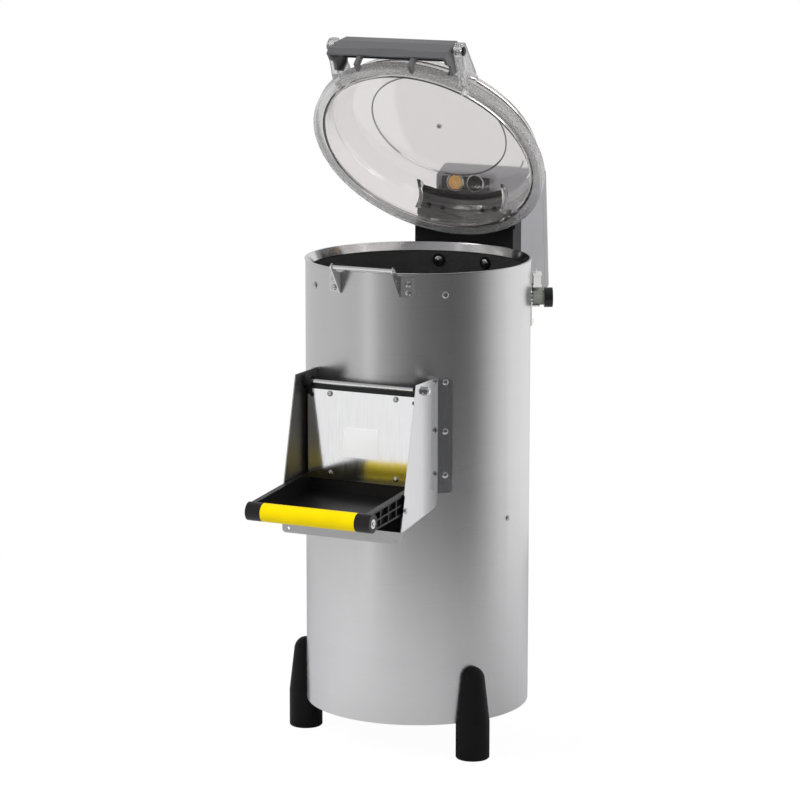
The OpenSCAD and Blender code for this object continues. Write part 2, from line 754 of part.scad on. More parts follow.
module latch_bracket() {
    x0 = latch_w / 2;
    foot_reach = latch_foot_w / 2 + 1.4;
    difference() {
        union() {
            difference() {
                across(x0, x0 + latch_t) union() {
                    polygon([
                        [-body_r + 10, rim_z - 5], [-body_r + 10, rim_z - 31], [-body_r + 4, rim_z - 31],
                        [latch_y - 4.6, latch_z - 1], [latch_y + 4.4, latch_z + 1.6],
                        [-body_r - 5.5, rim_z - 1]
                    ]);
                    translate([latch_y, latch_z]) circle(r = latch_rod_d / 2 + 2.3);
                }
                cylinder(r = body_r + seat / 2, h = rim_z);
            }
            at_az(latch_foot_az) translate([0, -body_r - seat / 2, 0]) rotate([90, 0, 0])
                linear_extrude(height = latch_t) foot_outline(foot_reach);
        }
        translate([0, latch_y, latch_z]) rotate([0, 90, 0])
            cylinder(d = latch_rod_d + 2 * fit, h = x0 + 10, $fn = 32);
        for (z = latch_screws_z) outward(latch_foot_az, body_r + 10, z)
            translate([0, 0, -20]) cylinder(r = screw_r + fit, h = 25, $fn = 24);
    }
}

// The bracket's foot, drawn flat, with two rounded outer corners
module foot_outline(reach) {
    corner = 5;
    low = rim_z - 31;
    high = rim_z - 5;
    polygon(concat(
        [[-reach, low], [reach - corner, low]],
        [for (a = [-90:15:0]) [reach - corner + corner * cos(a), low + corner + corner * sin(a)]],
        [for (a = [0:15:90]) [reach - corner + corner * cos(a), high - corner + corner * sin(a)]],
        [[-reach, high]]
    ));
}

module latch_brackets() color("#d4d5d8") {
    both_sides() latch_bracket();
}

module latch_rod() color("#dadbde") {
    translate([-latch_w / 2 - latch_t - 2, latch_y, latch_z]) rotate([0, 90, 0])
        cylinder(d = latch_rod_d, h = latch_w + 2 * latch_t + 4, $fn = 32);
}

// ---- Lid hinge ----

module hinge_base() color("#3c3d40") {
    block_top_z = rim_z + 23;
    difference() {
        union() {
            translate([-base_half, body_r - 25, rim_z - 38])
                cube([2 * base_half, base_rear_y - body_r + 25, block_top_z - rim_z + 38]);
            both_sides() across(upright_in, base_half) union() {
                polygon([
                    [pivot_y - 9, block_top_z - 1], [base_rear_y, block_top_z - 1],
                    [base_rear_y, pivot_z - 6],
                    [pivot_y + 9, pivot_z], [pivot_y - 9, pivot_z]
                ]);
                translate([pivot_y, pivot_z]) circle(r = 9);
            }
        }
        cylinder(r = body_r + seat, h = rim_z - 2);
        cylinder(r = lid_r + 1.6, h = rim_z + 60);
        hinge_bolt_holes(3 + fit);
        translate([-base_half - 1, pivot_y, pivot_z]) rotate([0, 90, 0])
            cylinder(d = hinge_pin_d + 2 * fit, h = 2 * base_half + 2);
        for (s = [-1, 1]) translate([s * 30, base_rear_y - 9, rim_z + 12]) rotate([-90, 0, 0])
            cylinder(r = 2.5 + fit, h = 10, $fn = 24);
        // Hollows behind, closed off by the control box
        both_sides() translate([base_half - 32, body_r + 8, rim_z - 34]) cube([28, 20, 22]);
        // Recess round each through bolt's nut
        for (s = [-1, 1]) outward(180 + s * hinge_bolt_az, body_r + 15, hinge_bolt_z) cylinder(r = 9, h = 40);
    }
    // Lower saddle, kept against the drum
    difference() {
        intersection() {
            ring(lid_r + 1.7, body_r + seat, rim_z - 38, 36);
            translate([-base_half, body_r - 25, rim_z - 38]) cube([2 * base_half, 60, 36]);
        }
        hinge_bolt_holes(3 + fit);
    }
}

module hinge_pin() color("#c6c7c9") {
    translate([-base_half - 0.5, pivot_y, pivot_z]) rotate([0, 90, 0])
        cylinder(d = hinge_pin_d, h = 2 * base_half + 1);
}

module hinge_bolts() color("#e2e2e4") {
    head_at = liner_in_r - seat;
    for (s = [-1, 1]) at_az(180 + s * hinge_bolt_az) translate([0, -head_at, hinge_bolt_z]) {
        rotate([-90, 0, 0]) dome_screw(6, 3.6, 3, 0);
        rotate([90, 0, 0]) cylinder(r = 3, h = body_r + 21 - head_at, $fn = 32);
        rotate([-90, 0, 0]) translate([0, 0, -0.1]) cylinder(r = 8, h = 1.2);
        translate([0, -(body_r + 15 + seat - head_at), 0]) rotate([90, 0, 0]) hexagon(10, 5);
    }
}

// ---- Lid ----

// Solid inside of the dome's outer face, grown or shrunk by a gap, over the flange plane
module dome_solid(grow, from_z) {
    line = [for (p = dome_line) [p[0] + grow, p[1] + grow]];
    translate([0, 0, lid_z]) rotate_extrude($fn = 144) polygon(concat(
        [[0, from_z], [line[0][0], from_z]],
        [for (i = [1:len(line) - 1]) line[i]],
        [[0, lid_crown_h + grow]]
    ));
}

module front_ear() {
    boss = 9;
    difference() {
        across(ear_in, ear_out) union() {
            polygon([
                [-lid_r + 45, lid_z + lid_skirt_h - 10], [-lid_r + 26, lid_z + 1],
                [lever_pin[0] - boss + 2, lever_pin[1] - 5], [lever_pin[0] - boss, lever_pin[1] + 4],
                [lever_pin[0] - 4, lever_pin[1] + 12], [-lid_r + 45, lid_z + 35], [-lid_r + 60, lid_z + 25]
            ]);
            translate(lever_pin) circle(r = boss);
        }
        // Hollow outer side of the ear
        across(ear_in + 3, ear_out + 1) difference() {
            polygon([
                [-lid_r + 42, lid_z + 12], [-lid_r + 22, lid_z + 8], [lever_pin[0] + 2, lever_pin[1] - 3],
                [lever_pin[0] + 2, lever_pin[1] + 8], [-lid_r + 42, lid_z + 31]
            ]);
            translate(lever_pin) circle(r = boss - 2);
        }
    }
}

module rear_ear() {
    across(bracket_half + 0.4, bracket_half + 5) polygon([
        [pivot_y - 60, pivot_z + 8], [pivot_y - 43, pivot_z + 14.6], [pivot_y - 36, pivot_z + 14.6],
        [pivot_y - 21, pivot_z + 8], [pivot_y - 13, pivot_z + 5], [pivot_y - 13, pivot_z - 8],
        [pivot_y - 30, pivot_z - 22], [pivot_y - 60, pivot_z - 22]
    ]);
}

module lid_dome() color([0.85, 0.86, 0.88, 0.45]) {
    opened() difference() {
        union() {
            dome_solid(0, lid_t / 2);
            // Flange with its skirt, and a seal step under its inner edge
            translate([0, 0, lid_z]) rotate_extrude($fn = 144) polygon([
                [flange_in_r, 0], [lid_r, 0], [lid_r, lid_skirt_h], [lid_r - lid_t, lid_skirt_h],
                [lid_r - lid_t, lid_t], [flange_in_r, lid_t]
            ]);
            both_sides() front_ear();
            both_sides() rear_ear();
            // Ring on the crown
            translate([0, 0, lid_z + lid_crown_h - 1]) rotate_extrude($fn = 144)
                polygon([[crown_r - 2, 0], [crown_r, 0], [crown_r - 0.5, 1.8], [crown_r - 1.5, 1.8]]);
            translate([0, 0, lid_z + lid_crown_h - 1]) cylinder(r = 4, h = 1.8);
        }
        dome_hollow();
        translate([-ear_out - 5, lever_pin[0], lever_pin[1]]) rotate([0, 90, 0])
            cylinder(d = lever_pin_d + 2 * fit, h = 2 * ear_out + 10, $fn = 48);
        bracket_screw_places() translate([0, 0, -12]) cylinder(r = 2 + fit, h = 24, $fn = 24);
    }
}

module dome_hollow() {
    line = [for (p = dome_line) [p[0] - lid_t, p[1] - (p[1] > lid_crown_h / 2 ? lid_t : 0)]];
    translate([0, 0, lid_z]) rotate_extrude($fn = 144) polygon(concat(
        [[0, -1], [flange_in_r, -1], [flange_in_r, lid_t + 3], [line[0][0], lid_t + 5]],
        [for (i = [1:len(line) - 1]) line[i]],
        [[0, lid_crown_h - lid_t]]
    ));
}

// Screws through the lid's rear wall into the hinge bracket, each along its own +Z out of the lid
module bracket_screw_places() {
    for (s = [-20, -12, 12, 20]) at_az(180 + s) translate([0, -dome_r + 1.5, lid_z + lid_crown_h - 23.9])
        rotate([90, 0, 0]) children();
}

module lid_hinge_bracket() color("#37383b") {
    top = [pivot_y - 36.3, pivot_z + 13.7];
    opened() difference() {
        union() {
            across(-bracket_half, bracket_half) polygon([
                [top[0] - 24, top[1] - 30], [top[0] - 24, top[1] - 0.3], [top[0], top[1]],
                [pivot_y - 21, pivot_z + 7.2], [pivot_y - 8, pivot_z + 7], [pivot_y, pivot_z + 8],
                [pivot_y + 4, pivot_z - 6.5], [pivot_y, pivot_z - 14], [pivot_y - 24, pivot_z - 15.5]
            ]);
            translate([-bracket_half - 2.2, pivot_y, pivot_z]) rotate([0, 90, 0])
                cylinder(r = 8, h = 2 * bracket_half + 4.4);
        }
        dome_solid(seat, -5);
        translate([-bracket_half - 10, pivot_y, pivot_z]) rotate([0, 90, 0])
            cylinder(d = hinge_pin_d + 2 * fit, h = 2 * bracket_half + 20);
        // The upper edge is scooped out between its two corners, clear of the push buttons
        scoop();
        // Pockets from below leave ribs
        for (x = [-1.5:1:1.5]) translate([x * 28 - 12, pivot_y - 9, pivot_z - 20]) cube([24, 5, 16]);
        bracket_screw_places() translate([0, 0, -2]) cylinder(r = 2 + fit, h = 9, $fn = 24);
    }
}

module scoop() {
    scoop_r = 165;
    depth = 10;
    translate([0, pivot_y - 36.3 - 24 - scoop_r + 24 + depth - 2, pivot_z - 20])
        cylinder(r = scoop_r, h = 60, $fn = 128);
}

module bracket_screws() color("#c9cacc") {
    opened() bracket_screw_places() translate([0, 0, -4.2]) rotate([180, 0, 0]) dome_screw(3.2, 2, 2, 10);
}

module lever_pins() color("#222224") {
    opened() both_sides() translate([ear_out + 0.1, lever_pin[0], lever_pin[1]]) rotate([0, 90, 0]) {
        dome_screw(6, 3.2, lever_pin_d / 2, ear_out - lever_w / 2 + 6);
    }
}

// ---- Lever handle ----

// Side view of the lever's outer face, shrunk by a wall
module lever_side(wall) {
    f = lever_front;
    t = lever_top;
    polygon([
        [t[0] + 1, t[1] - wall], [t[0] - 3 + 0.4 * wall, t[1] - 1.2 - wall], [t[0] - 12 + wall, t[1] - 17],
        [f[0] + wall, f[1] + 4], [f[0] + 0.8 + wall, f[1] - 5.9 - 2 * wall],
        [f[0] + 13.5 - wall, f[1] - 5.5 - 2 * wall], [f[0] + 22, f[1] + 0.6 - 2 * wall],
        [f[0] + 34, f[1] - 3.4 - 2 * wall], [f[0] + 40 - wall, f[1] + 1 - 2 * wall],
        [f[0] + 40 - wall, f[1] + 16], [t[0] + 10 - wall, t[1] - 14], [t[0] + 8 - wall, t[1] - 5 - wall]
    ]);
}

// Front view of the lever: narrower at its top than at its lower edge
module lever_front_view(wall) {
    top_half = lever_w / 2 - wall;
    low_half = lever_low_w / 2 - wall;
    rotate([90, 0, 0]) linear_extrude(height = 2 * lid_r) polygon([
        [-low_half, lid_z - 12], [low_half, lid_z - 12], [low_half, lever_front[1]],
        [top_half, lever_top[1] + 1], [-top_half, lever_top[1] + 1], [-low_half, lever_front[1]]
    ]);
}

module lever_hook() {
    f = lever_front;
    across(hook_x - hook_t, hook_x) polygon([
        [lever_top[0] - 4, lever_top[1] - 4], [f[0] + 2, f[1] + 6], [f[0] + 3, f[1] - 21],
        [f[0] + 16, f[1] - 21], [f[0] + 16, f[1] - 13], [f[0] + 11, f[1] - 15], [f[0] + 10, f[1] + 6],
        [lever_top[0] + 2, lever_top[1] - 14], [lever_top[0] + 5, lever_top[1] - 6]
    ]);
}

module lid_lever() color("#6b6c70") {
    opened() difference() {
        union() {
            difference() {
                intersection() {
                    across(-lever_low_w, lever_low_w) lever_side(0);
                    lever_front_view(0);
                }
                intersection() {
                    across(-lever_low_w, lever_low_w) lever_side(lever_t);
                    lever_front_view(lever_t + 0.5);
                }
                // Open behind and below between the end walls
                translate([-lever_w / 2 + 4, lever_top[0] + 3.2, lid_z - 30])
                    cube([lever_w - 8, 60, lever_top[1] - lid_z + 12]);
                translate([-lever_w / 2 + 4, lever_front[0] + 3.5, lid_z - 30])
                    cube([lever_w - 8, 60, 40]);
            }
            both_sides() lever_hook();
        }
        // Long shallow finger recess in the lower part of the front
        translate([0, lever_front[0] - 298, lever_front[1] - 2]) sphere(r = 300, $fn = 160);
        translate([-ear_out, lever_pin[0], lever_pin[1]]) rotate([0, 90, 0])
            cylinder(d = lever_pin_d + 2 * fit, h = 2 * ear_out, $fn = 48);
    }
}

// ---- Control box ----

// Half width of the box at a place along Y
function box_half(y) = box_front_w / 2
    + (box_rear_w - box_front_w) / 2 * (y - box_front_y) / (box_back_y - box_front_y);

// One corner pair of the box, shrunk by a wall
module box_corners(y, z, wall) {
    for (s = [-1, 1]) translate([s * (box_half(y) - box_corner), y, z])
        sphere(r = box_corner - wall, $fn = 32);
}

module box_form(wall) {
    c = box_corner;
    hull() {
        box_corners(box_front_y + c, box_top - c, wall);
        box_corners(box_front_y + c, overhang_z + c, wall);
        box_corners(box_back_y - c, box_top - c, wall);
        box_corners(box_back_y + box_lean - c, box_bottom + c, wall);
    }
    hull() {
        box_corners(box_step_y + c, overhang_z + c - 14, wall);
        box_corners(box_step_y + c, box_bottom + c, wall);
        box_corners(box_back_y - c, box_top - c, wall);
        box_corners(box_back_y + box_lean - c, box_bottom + c, wall);
    }
}

// Everything in front of the seam, which leans with the rear wall
module before_seam(gap) {
    across(-box_rear_w, box_rear_w) polygon([
        [0, 0], [box_seam_y + box_lean * 1.5 - gap, 0],
        [box_seam_y + box_lean - gap, box_bottom], [box_seam_y - gap, box_top],
        [box_seam_y - gap, box_top + 50], [0, box_top + 50]
    ]);
}

module control_box() color("#a2a3a6") {
    difference() {
        intersection() {
            box_form(0);
            before_seam(0);
        }
        box_form(box_wall);
        // Recess for the fascia, and the holes behind it
        translate([-fascia_w / 2 - 0.1, box_front_y - 5, overhang_z + 5.9])
            cube([fascia_w + 0.2, 5 + fascia_t, box_top - 6 - overhang_z - 5.8]);
        for (s = [-1, 1]) translate([s * button_pitch / 2, box_front_y - 5, button_z]) rotate([-90, 0, 0])
            cylinder(r = switch_neck_r + fit, h = 20);
        translate([30, box_step_y + 35, box_bottom - 1]) cylinder(r = 8 + fit, h = 10);
        for (s = [-1, 1]) translate([s * 30, box_step_y - 5, rim_z + 12]) rotate([-90, 0, 0])
            cylinder(r = 2.5 + fit, h = 12, $fn = 24);
    }
    // Foot that reaches the drum under the hinge
    difference() {
        translate([-24, body_r - 10, box_bottom + 12]) cube([48, box_step_y + box_wall - body_r + 9, 20]);
        cylinder(r = body_r + seat, h = rim_z);
        translate([-19, body_r, box_bottom + 16]) cube([38, 60, 12]);
    }
}

module box_back_cover() color("#9a9b9e") {
    difference() {
        box_form(0);
        before_seam(-0.3);
        difference() {
            box_form(box_wall);
            box_cover_screw_places() translate([0, 0, -40]) cylinder(r = 4.5, h = 40, $fn = 32);
        }
        box_cover_screw_places() translate([0, 0, -60]) cylinder(r = 2 + fit, h = 80, $fn = 24);
    }
}

// Screws in the back cover, each along its own +Z out of the rear
module box_cover_screw_places() {
    for (s = [-1, 1]) {
        translate([s * (box_rear_w / 2 - 16), box_back_y + 0.7, box_top - 17]) rotate([-90, 0, 0]) children();
        translate([s * (box_rear_w / 2 - 16), box_back_y + box_lean - 0.7, box_bottom + 17])
            rotate([-90, 0, 0]) children();
    }
}

module box_screws() color("#c9cacc") {
    box_cover_screw_places() translate([0, 0, 0.5]) dome_screw(3.8, 2.2, 2, 22);
    for (s = [-1, 1]) translate([s * 30, box_step_y + box_wall + 0.1, rim_z + 12]) rotate([-90, 0, 0])
        dome_screw(4.2, 2.4, 2.5, 9);
}

module fascia() color("#3a3b3e") {
    difference() {
        translate([-fascia_w / 2, box_front_y, overhang_z + 6])
            cube([fascia_w, fascia_t, box_top - 6 - overhang_z - 6]);
        for (s = [-1, 1]) translate([s * button_pitch / 2, box_front_y - 5, button_z]) rotate([-90, 0, 0])
            cylinder(r = switch_neck_r + fit, h = 20);
    }
}

module button_bezels() color("#1b1b1d") {
    for (s = [-1, 1]) translate([s * button_pitch / 2, box_front_y, button_z]) rotate([90, 0, 0])
        rotate_extrude() polygon([
            [switch_neck_r + 0.1, 0], [bezel_r, 0], [bezel_r, 1.1], [bezel_r - 1.2, 2],
            [switch_neck_r + 0.1, 2]
        ]);
}

module switch_bodies() color("#2a2a2c") {
    for (s = [-1, 1]) translate([s * button_pitch / 2, box_front_y - 1.5, button_z]) rotate([-90, 0, 0])
        difference() {
            union() {
                cylinder(r = switch_neck_r, h = 24);
                translate([-11, -9, 1.5 + box_wall + 2]) cube([22, 18, 24]);
            }
            translate([0, 0, -1]) cylinder(d = button_d + 0.6, h = 14.5);
        }
}

module push_button(x) {
    translate([x, box_front_y - 2.6, button_z]) rotate([-90, 0, 0]) rotate_extrude() polygon([
        [0, 0.4], [button_d / 2 - 3, 0.2], [button_d / 2 - 1, 0], [button_d / 2, 1],
        [button_d / 2, 12 - button_travel], [0, 12 - button_travel]
    ]);
}

module start_button() color("#f0b43c") { push_button(-button_pitch / 2); }

module stop_button() color("#161617") { push_button(button_pitch / 2); }

module cable_gland() color("#2a2a2c") {
    translate([30, box_step_y + 35, box_bottom]) difference() {
        union() {
            translate([0, 0, -seat - 0]) cylinder(r = 8, h = box_wall + 8);
            translate([0, 0, -5]) hexagon(22, 5);
            translate([0, 0, -16]) cylinder(r1 = 7, r2 = 9.5, h = 11);
            translate([0, 0, box_wall + 0.1]) hexagon(22, 5);
        }
        translate([0, 0, -20]) cylinder(r = 4.5, h = 60);
    }
}

// ---- Water valve and drain ----

module valve_body() color("#9aa093") {
    outward(valve_az, body_r + 3, valve_z) difference() {
        union() {
            cylinder(r = 10, h = 7);
            translate([0, 0, 3]) cylinder(r = inlet_d / 2 - 3.2, h = 12);
            translate([0, 8, 6]) rotate([-90, 0, 0]) cylinder(r = 7.5, h = 7.2);
            translate([-9, -4, 0]) cube([18, 14, 12]);
        }
        translate([0, 0, -1]) cylinder(r = 4, h = 30);
    }
}

module valve_coil() color("#ecece8") {
    outward(valve_az, body_r + 3, valve_z) difference() {
        union() {
            translate([-12, 15.2, -1]) cube([24, 2.4, 12]);
            translate([-10, 17.5, 0]) cube([20, 13.6, 10]);
            translate([-12, 31, -1]) cube([24, 2.4, 12]);
            // Terminal tags
            for (x = [-6, 2]) translate([x, 33.3, 4]) cube([4, 6, 0.8]);
        }
        // Coil windows
        for (x = [-7, -1.4, 4.2]) translate([x, 19.3, 8.5]) cube([3, 10, 3]);
    }
}

module valve_bracket() color("#d0d1d3") {
    difference() {
        union() {
            outward(valve_az, body_r + seat / 2, valve_z) translate([-7, -38, 0]) cube([14, 30, 1.5]);
            outward(valve_az, body_r + seat / 2, valve_z) translate([-7, -11.6, 0]) cube([14, 1.5, 12]);
        }
        outward(valve_az, body_r + 5, valve_z - 32) translate([0, 0, -15])
            cylinder(r = screw_r + fit, h = 20, $fn = 24);
    }
    outward(valve_az, body_r + 1.5 + seat, valve_z - 32) dome_screw(4, 2.6, screw_r - fit, 3.2);
}

module inlet_collar() color("#19191b") {
    outward(valve_az, body_r + 18.1, valve_z) difference() {
        cylinder(d = inlet_d, h = 11);
        translate([0, 0, -1]) cylinder(r = 8, h = 20);
    }
}

module spray_nozzle() color("#c6c7c9") {
    outward(valve_az, liner_in_r - 6, valve_z) difference() {
        union() {
            cylinder(r = 6.5, h = body_r + 3 - liner_in_r + 6 - 0.1);
            translate([0, 0, -3]) cylinder(r = 9, h = 8.7);
        }
        translate([0, 0, 3]) cylinder(r = 4, h = 40);
        translate([-6, -1.5, -4]) cube([12, 3, 8]);
    }
}

module drain_spout() color("#b0b0b3") {
    difference() {
        union() {
            // Neck at the wall, then the part that a hose is pushed over
            outward(drain_az, liner_out_r - 2.5, drain_z) cylinder(d = drain_d - 1, h = 12);
            outward(drain_az, drain_hose_at, drain_z) cylinder(d = drain_d, h = drain_hose_l);
            intersection() {
                ring(body_r + seat / 2 + 2, body_r + seat / 2, drain_z - 30, 60);
                outward(drain_az, body_r - 20, drain_z) cylinder(d = drain_d + 18, h = 40);
            }
        }
        outward(drain_az, liner_out_r - 10, drain_z) cylinder(d = drain_d - 3.6, h = 80);
        at_az(drain_az) translate([0, 0, drain_z - 30]) cylinder(r = liner_out_r - 1.5, h = 60);
    }
}

// ---- Drive ----

module housing_bolt_places() {
    for (a = [45:90:315]) rotate([0, 0, a]) translate([housing_r + 10, 0, floor_z]) children();
}

module spacer_places() {
    for (a = [35, 145, 215, 325]) at_az(motor_az + a) translate([spacer_at, 0, floor_z]) children();
}

module turntable_plate() color("#4a4845") {
    bump_r = 60;
    difference() {
        union() {
            translate([0, 0, turntable_top - turntable_t]) cylinder(r = turntable_r, h = turntable_t);
            translate([0, 0, turntable_top - turntable_t - 24]) cylinder(r = shaft_r + 9, h = 24.1);
            translate([0, 0, turntable_top - 0.1]) cylinder(r1 = 30, r2 = 12, h = 7);
            // Three low waves that toss the potatoes
            for (a = [30, 150, 270]) rotate([0, 0, a]) intersection() {
                translate([28, 0, turntable_top + 7 - bump_r]) rotate([0, 90, 0])
                    cylinder(r = bump_r, h = turntable_r - 34, $fn = 128);
                translate([0, -60, turntable_top - 0.1]) cube([turntable_r, 120, 20]);
            }
        }
        translate([0, 0, turntable_top - turntable_t - 30]) cylinder(r = shaft_r + 0.02, h = 34);
    }
}

module drive_shaft() color("#b8b9bb") {
    low = pulley_z - 3;
    translate([0, 0, low]) cylinder(r = shaft_r, h = turntable_top - turntable_t + 4 - low - 0.1);
}

module bearing_housing() color("#7b7c7e") {
    difference() {
        union() {
            translate([0, 0, floor_z - housing_h]) cylinder(r = housing_r, h = housing_h);
            translate([0, 0, floor_z - 8]) cylinder(r = housing_flange_r, h = 8);
            for (a = [0:60:300]) rotate([0, 0, a]) translate([0, -3, floor_z - 30])
                cube([housing_r + 6, 6, 24]);
        }
        translate([0, 0, floor_z - housing_h - 1]) cylinder(r = shaft_r + 3, h = housing_h + 2);
        translate([0, 0, floor_z - bearing_w - 2]) cylinder(d = bearing_d + 2 * fit, h = 40);
        translate([0, 0, floor_z - housing_h - 1]) cylinder(d = bearing_d + 2 * fit, h = bearing_w + 1);
        housing_bolt_places() translate([0, 0, -20]) cylinder(r = 3 + fit, h = 40, $fn = 24);
    }
}

module bearings() color("#c3c4c6") {
    for (z = [floor_z - bearing_w - 2, floor_z - housing_h]) difference() {
        ring(bearing_d / 2, shaft_r + fit, z, bearing_w);
        // Grooves between the rings
        ring(bearing_d / 2 - 5, shaft_r + 4, z - 1, 2);
        ring(bearing_d / 2 - 5, shaft_r + 4, z + bearing_w - 1, 2);
    }
}

module shaft_seal() color("#262628") {
    ring(bearing_d / 2 - 0.1, shaft_r + fit + 0.02, floor_z - 1.9, 7);
}

// A grooved pulley from its lower face up, by its pitch radius and bore
module pulley(pitch_r, bore_r) {
    side = (pulley_h - belt_w) / 2 - belt_gap;
    rotate_extrude() polygon([
        [bore_r, 0], [pitch_r + belt_t - 1, 0], [pitch_r + belt_t - 1, side], [pitch_r, side + 0.6],
        [pitch_r, pulley_h - side - 0.6], [pitch_r + belt_t - 1, pulley_h - side],
        [pitch_r + belt_t - 1, pulley_h], [bore_r, pulley_h]
    ]);
}

module driven_pulley() color("#8a8b8d") {
    difference() {
        translate([0, 0, pulley_z]) pulley(pulley_big_d / 2, shaft_r + 0.02);
        for (a = [0:72:288]) rotate([0, 0, a]) translate([pulley_big_d / 4 + 7, 0, pulley_z - 1])
            cylinder(r = 10, h = pulley_h + 2);
    }
}

module motor_pulley() color("#8a8b8d") {
    at_az(motor_az) translate([0, motor_y, pulley_z]) pulley(pulley_small_d / 2, motor_shaft_r + 0.02);
}

// Outline of a loop round the two pulleys, at a distance over their pitch circles
module loop_outline(over) {
    big = pulley_big_d / 2 + over;
    small = pulley_small_d / 2 + over;
    lean = asin((big - small) / pulley_centres);
    polygon(concat(
        [for (i = [0:40]) big * wrap_point(-lean + i * (180 + 2 * lean) / 40)],
        [for (i = [0:24]) [0, motor_y] + small * wrap_point(180 + lean + i * (180 - 2 * lean) / 24)]
    ));
}

// A point on the unit circle
function wrap_point(a) = [cos(a), sin(a)];

module drive_belt() color("#1f1f21") {
    at_az(motor_az) translate([0, 0, pulley_z + (pulley_h - belt_w) / 2 + 0.6])
        linear_extrude(height = belt_w - 1.2) difference() {
            loop_outline(belt_gap + belt_t);
            loop_outline(belt_gap);
        }
}

module motor_shaft() color("#b8b9bb") {
    at_az(motor_az) translate([0, motor_y, motor_plate_z - 12])
        cylinder(r = motor_shaft_r, h = pulley_z + pulley_h - motor_plate_z + 12);
}

module motor_body() color("#5d6266") {
    r = motor_d / 2;
    fins = 9;
    pitch = (motor_l - 40) / fins;
    at_az(motor_az) translate([0, motor_y, motor_plate_z - motor_l]) difference() {
        rotate_extrude() polygon(concat(
            [[0, 0], [r - 10, 0], [r - 4, 6], [r - 4, 16]],
            [for (i = [0:fins - 1]) each [
                [r - 4, 18 + i * pitch], [r, 18 + i * pitch], [r, 22 + i * pitch], [r - 4, 22 + i * pitch]
            ]],
            [[r - 4, motor_l - 14], [r, motor_l - 14], [r, motor_l], [0, motor_l]]
        ));
        translate([0, 0, motor_l - 14]) cylinder(r = motor_shaft_r + fit, h = 20);
    }
}

module motor_plate() color("#9a9b9d") {
    difference() {
        translate([0, 0, motor_plate_z]) cylinder(r = motor_plate_r, h = motor_plate_t);
        at_az(motor_az) translate([0, motor_y, motor_plate_z - 1])
            cylinder(r = motor_shaft_r + 4, h = motor_plate_t + 2);
        spacer_places() translate([0, 0, -200]) cylinder(r = 3 + fit, h = 220, $fn = 24);
        motor_screw_places() translate([0, 0, -1]) cylinder(r = 3 + fit, h = motor_plate_t + 2, $fn = 24);
        at_az(motor_az) translate([0, 60, motor_plate_z - 1]) cylinder(r = 30, h = motor_plate_t + 2);
    }
}

module motor_screw_places() {
    for (a = [45:90:315]) at_az(motor_az) translate([0, motor_y, motor_plate_z]) rotate([0, 0, a])
        translate([motor_shaft_r + 22, 0, 0]) children();
}

module drive_fasteners() color("#b4b5b7") {
    // Bolts that hold the bearing housing under the drum floor
    housing_bolt_places() {
        translate([0, 0, -8.1]) cylinder(r = 3, h = 8.1 + floor_t, $fn = 32);
        translate([0, 0, -13]) hexagon(10, 4.9);
        translate([0, 0, floor_t]) cylinder(r = 5, h = 2.6, $fn = 32);
    }
    // Spacers between the drum floor and the motor plate
    spacer_places() {
        translate([0, 0, motor_plate_z + motor_plate_t - floor_z])
            cylinder(r = spacer_r, h = floor_z - motor_plate_z - motor_plate_t);
        translate([0, 0, motor_plate_z - floor_z - 0.1]) cylinder(r = 3, h = motor_plate_t + 0.2, $fn = 32);
        translate([0, 0, motor_plate_z - floor_z - 5]) hexagon(10, 5);
        translate([0, 0, -0.1]) cylinder(r = 3, h = floor_t + 0.2, $fn = 32);
        translate([0, 0, floor_t]) cylinder(r = 5, h = 2.6, $fn = 32);
    }
    motor_screw_places() translate([0, 0, motor_plate_t]) cylinder(r = 5, h = 1.6, $fn = 32);
}

body_shell();
rim_ring();
abrasive_liner();
drum_floor();
base_pan();
leg_front_right();
leg_front_left();
leg_rear();
leg_bolts();
drum_screws();
discharge_frame();
discharge_chute();
cheek_left();
cheek_right();
cheek_screws();
door_pivot_rod();
rod_nuts();
door_body();
door_seal();
door_plate();
door_screws();
handle_tube();
handle_grip();
latch_brackets();
latch_rod();
hinge_base();
hinge_pin();
hinge_bolts();
lid_dome();
lid_hinge_bracket();
bracket_screws();
lever_pins();
lid_lever();
control_box();
box_back_cover();
box_screws();
fascia();
button_bezels();
switch_bodies();
start_button();
stop_button();
cable_gland();
valve_body();
valve_coil();
valve_bracket();
inlet_collar();
spray_nozzle();
drain_spout();
turntable_plate();
drive_shaft();
bearing_housing();
bearings();
shaft_seal();
driven_pulley();
drive_belt();
motor_pulley();
motor_shaft();
motor_body();
motor_plate();
drive_fasteners();
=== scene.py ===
# %% [markdown]
# # A catering potato peeler
#
# This lesson dresses a finished solid model of a potato peeler: a brushed steel drum on three black legs,
# with a clear lid that stands open, a discharge door with a yellow handle, and a grey control box at the
# back. The solids already have the right shapes and places, so the work here is light, camera, finishes and
# a few thin things that were never worth a solid of their own.

# %% Load the solids
import json
import math

import bpy
from mathutils import Matrix, Vector


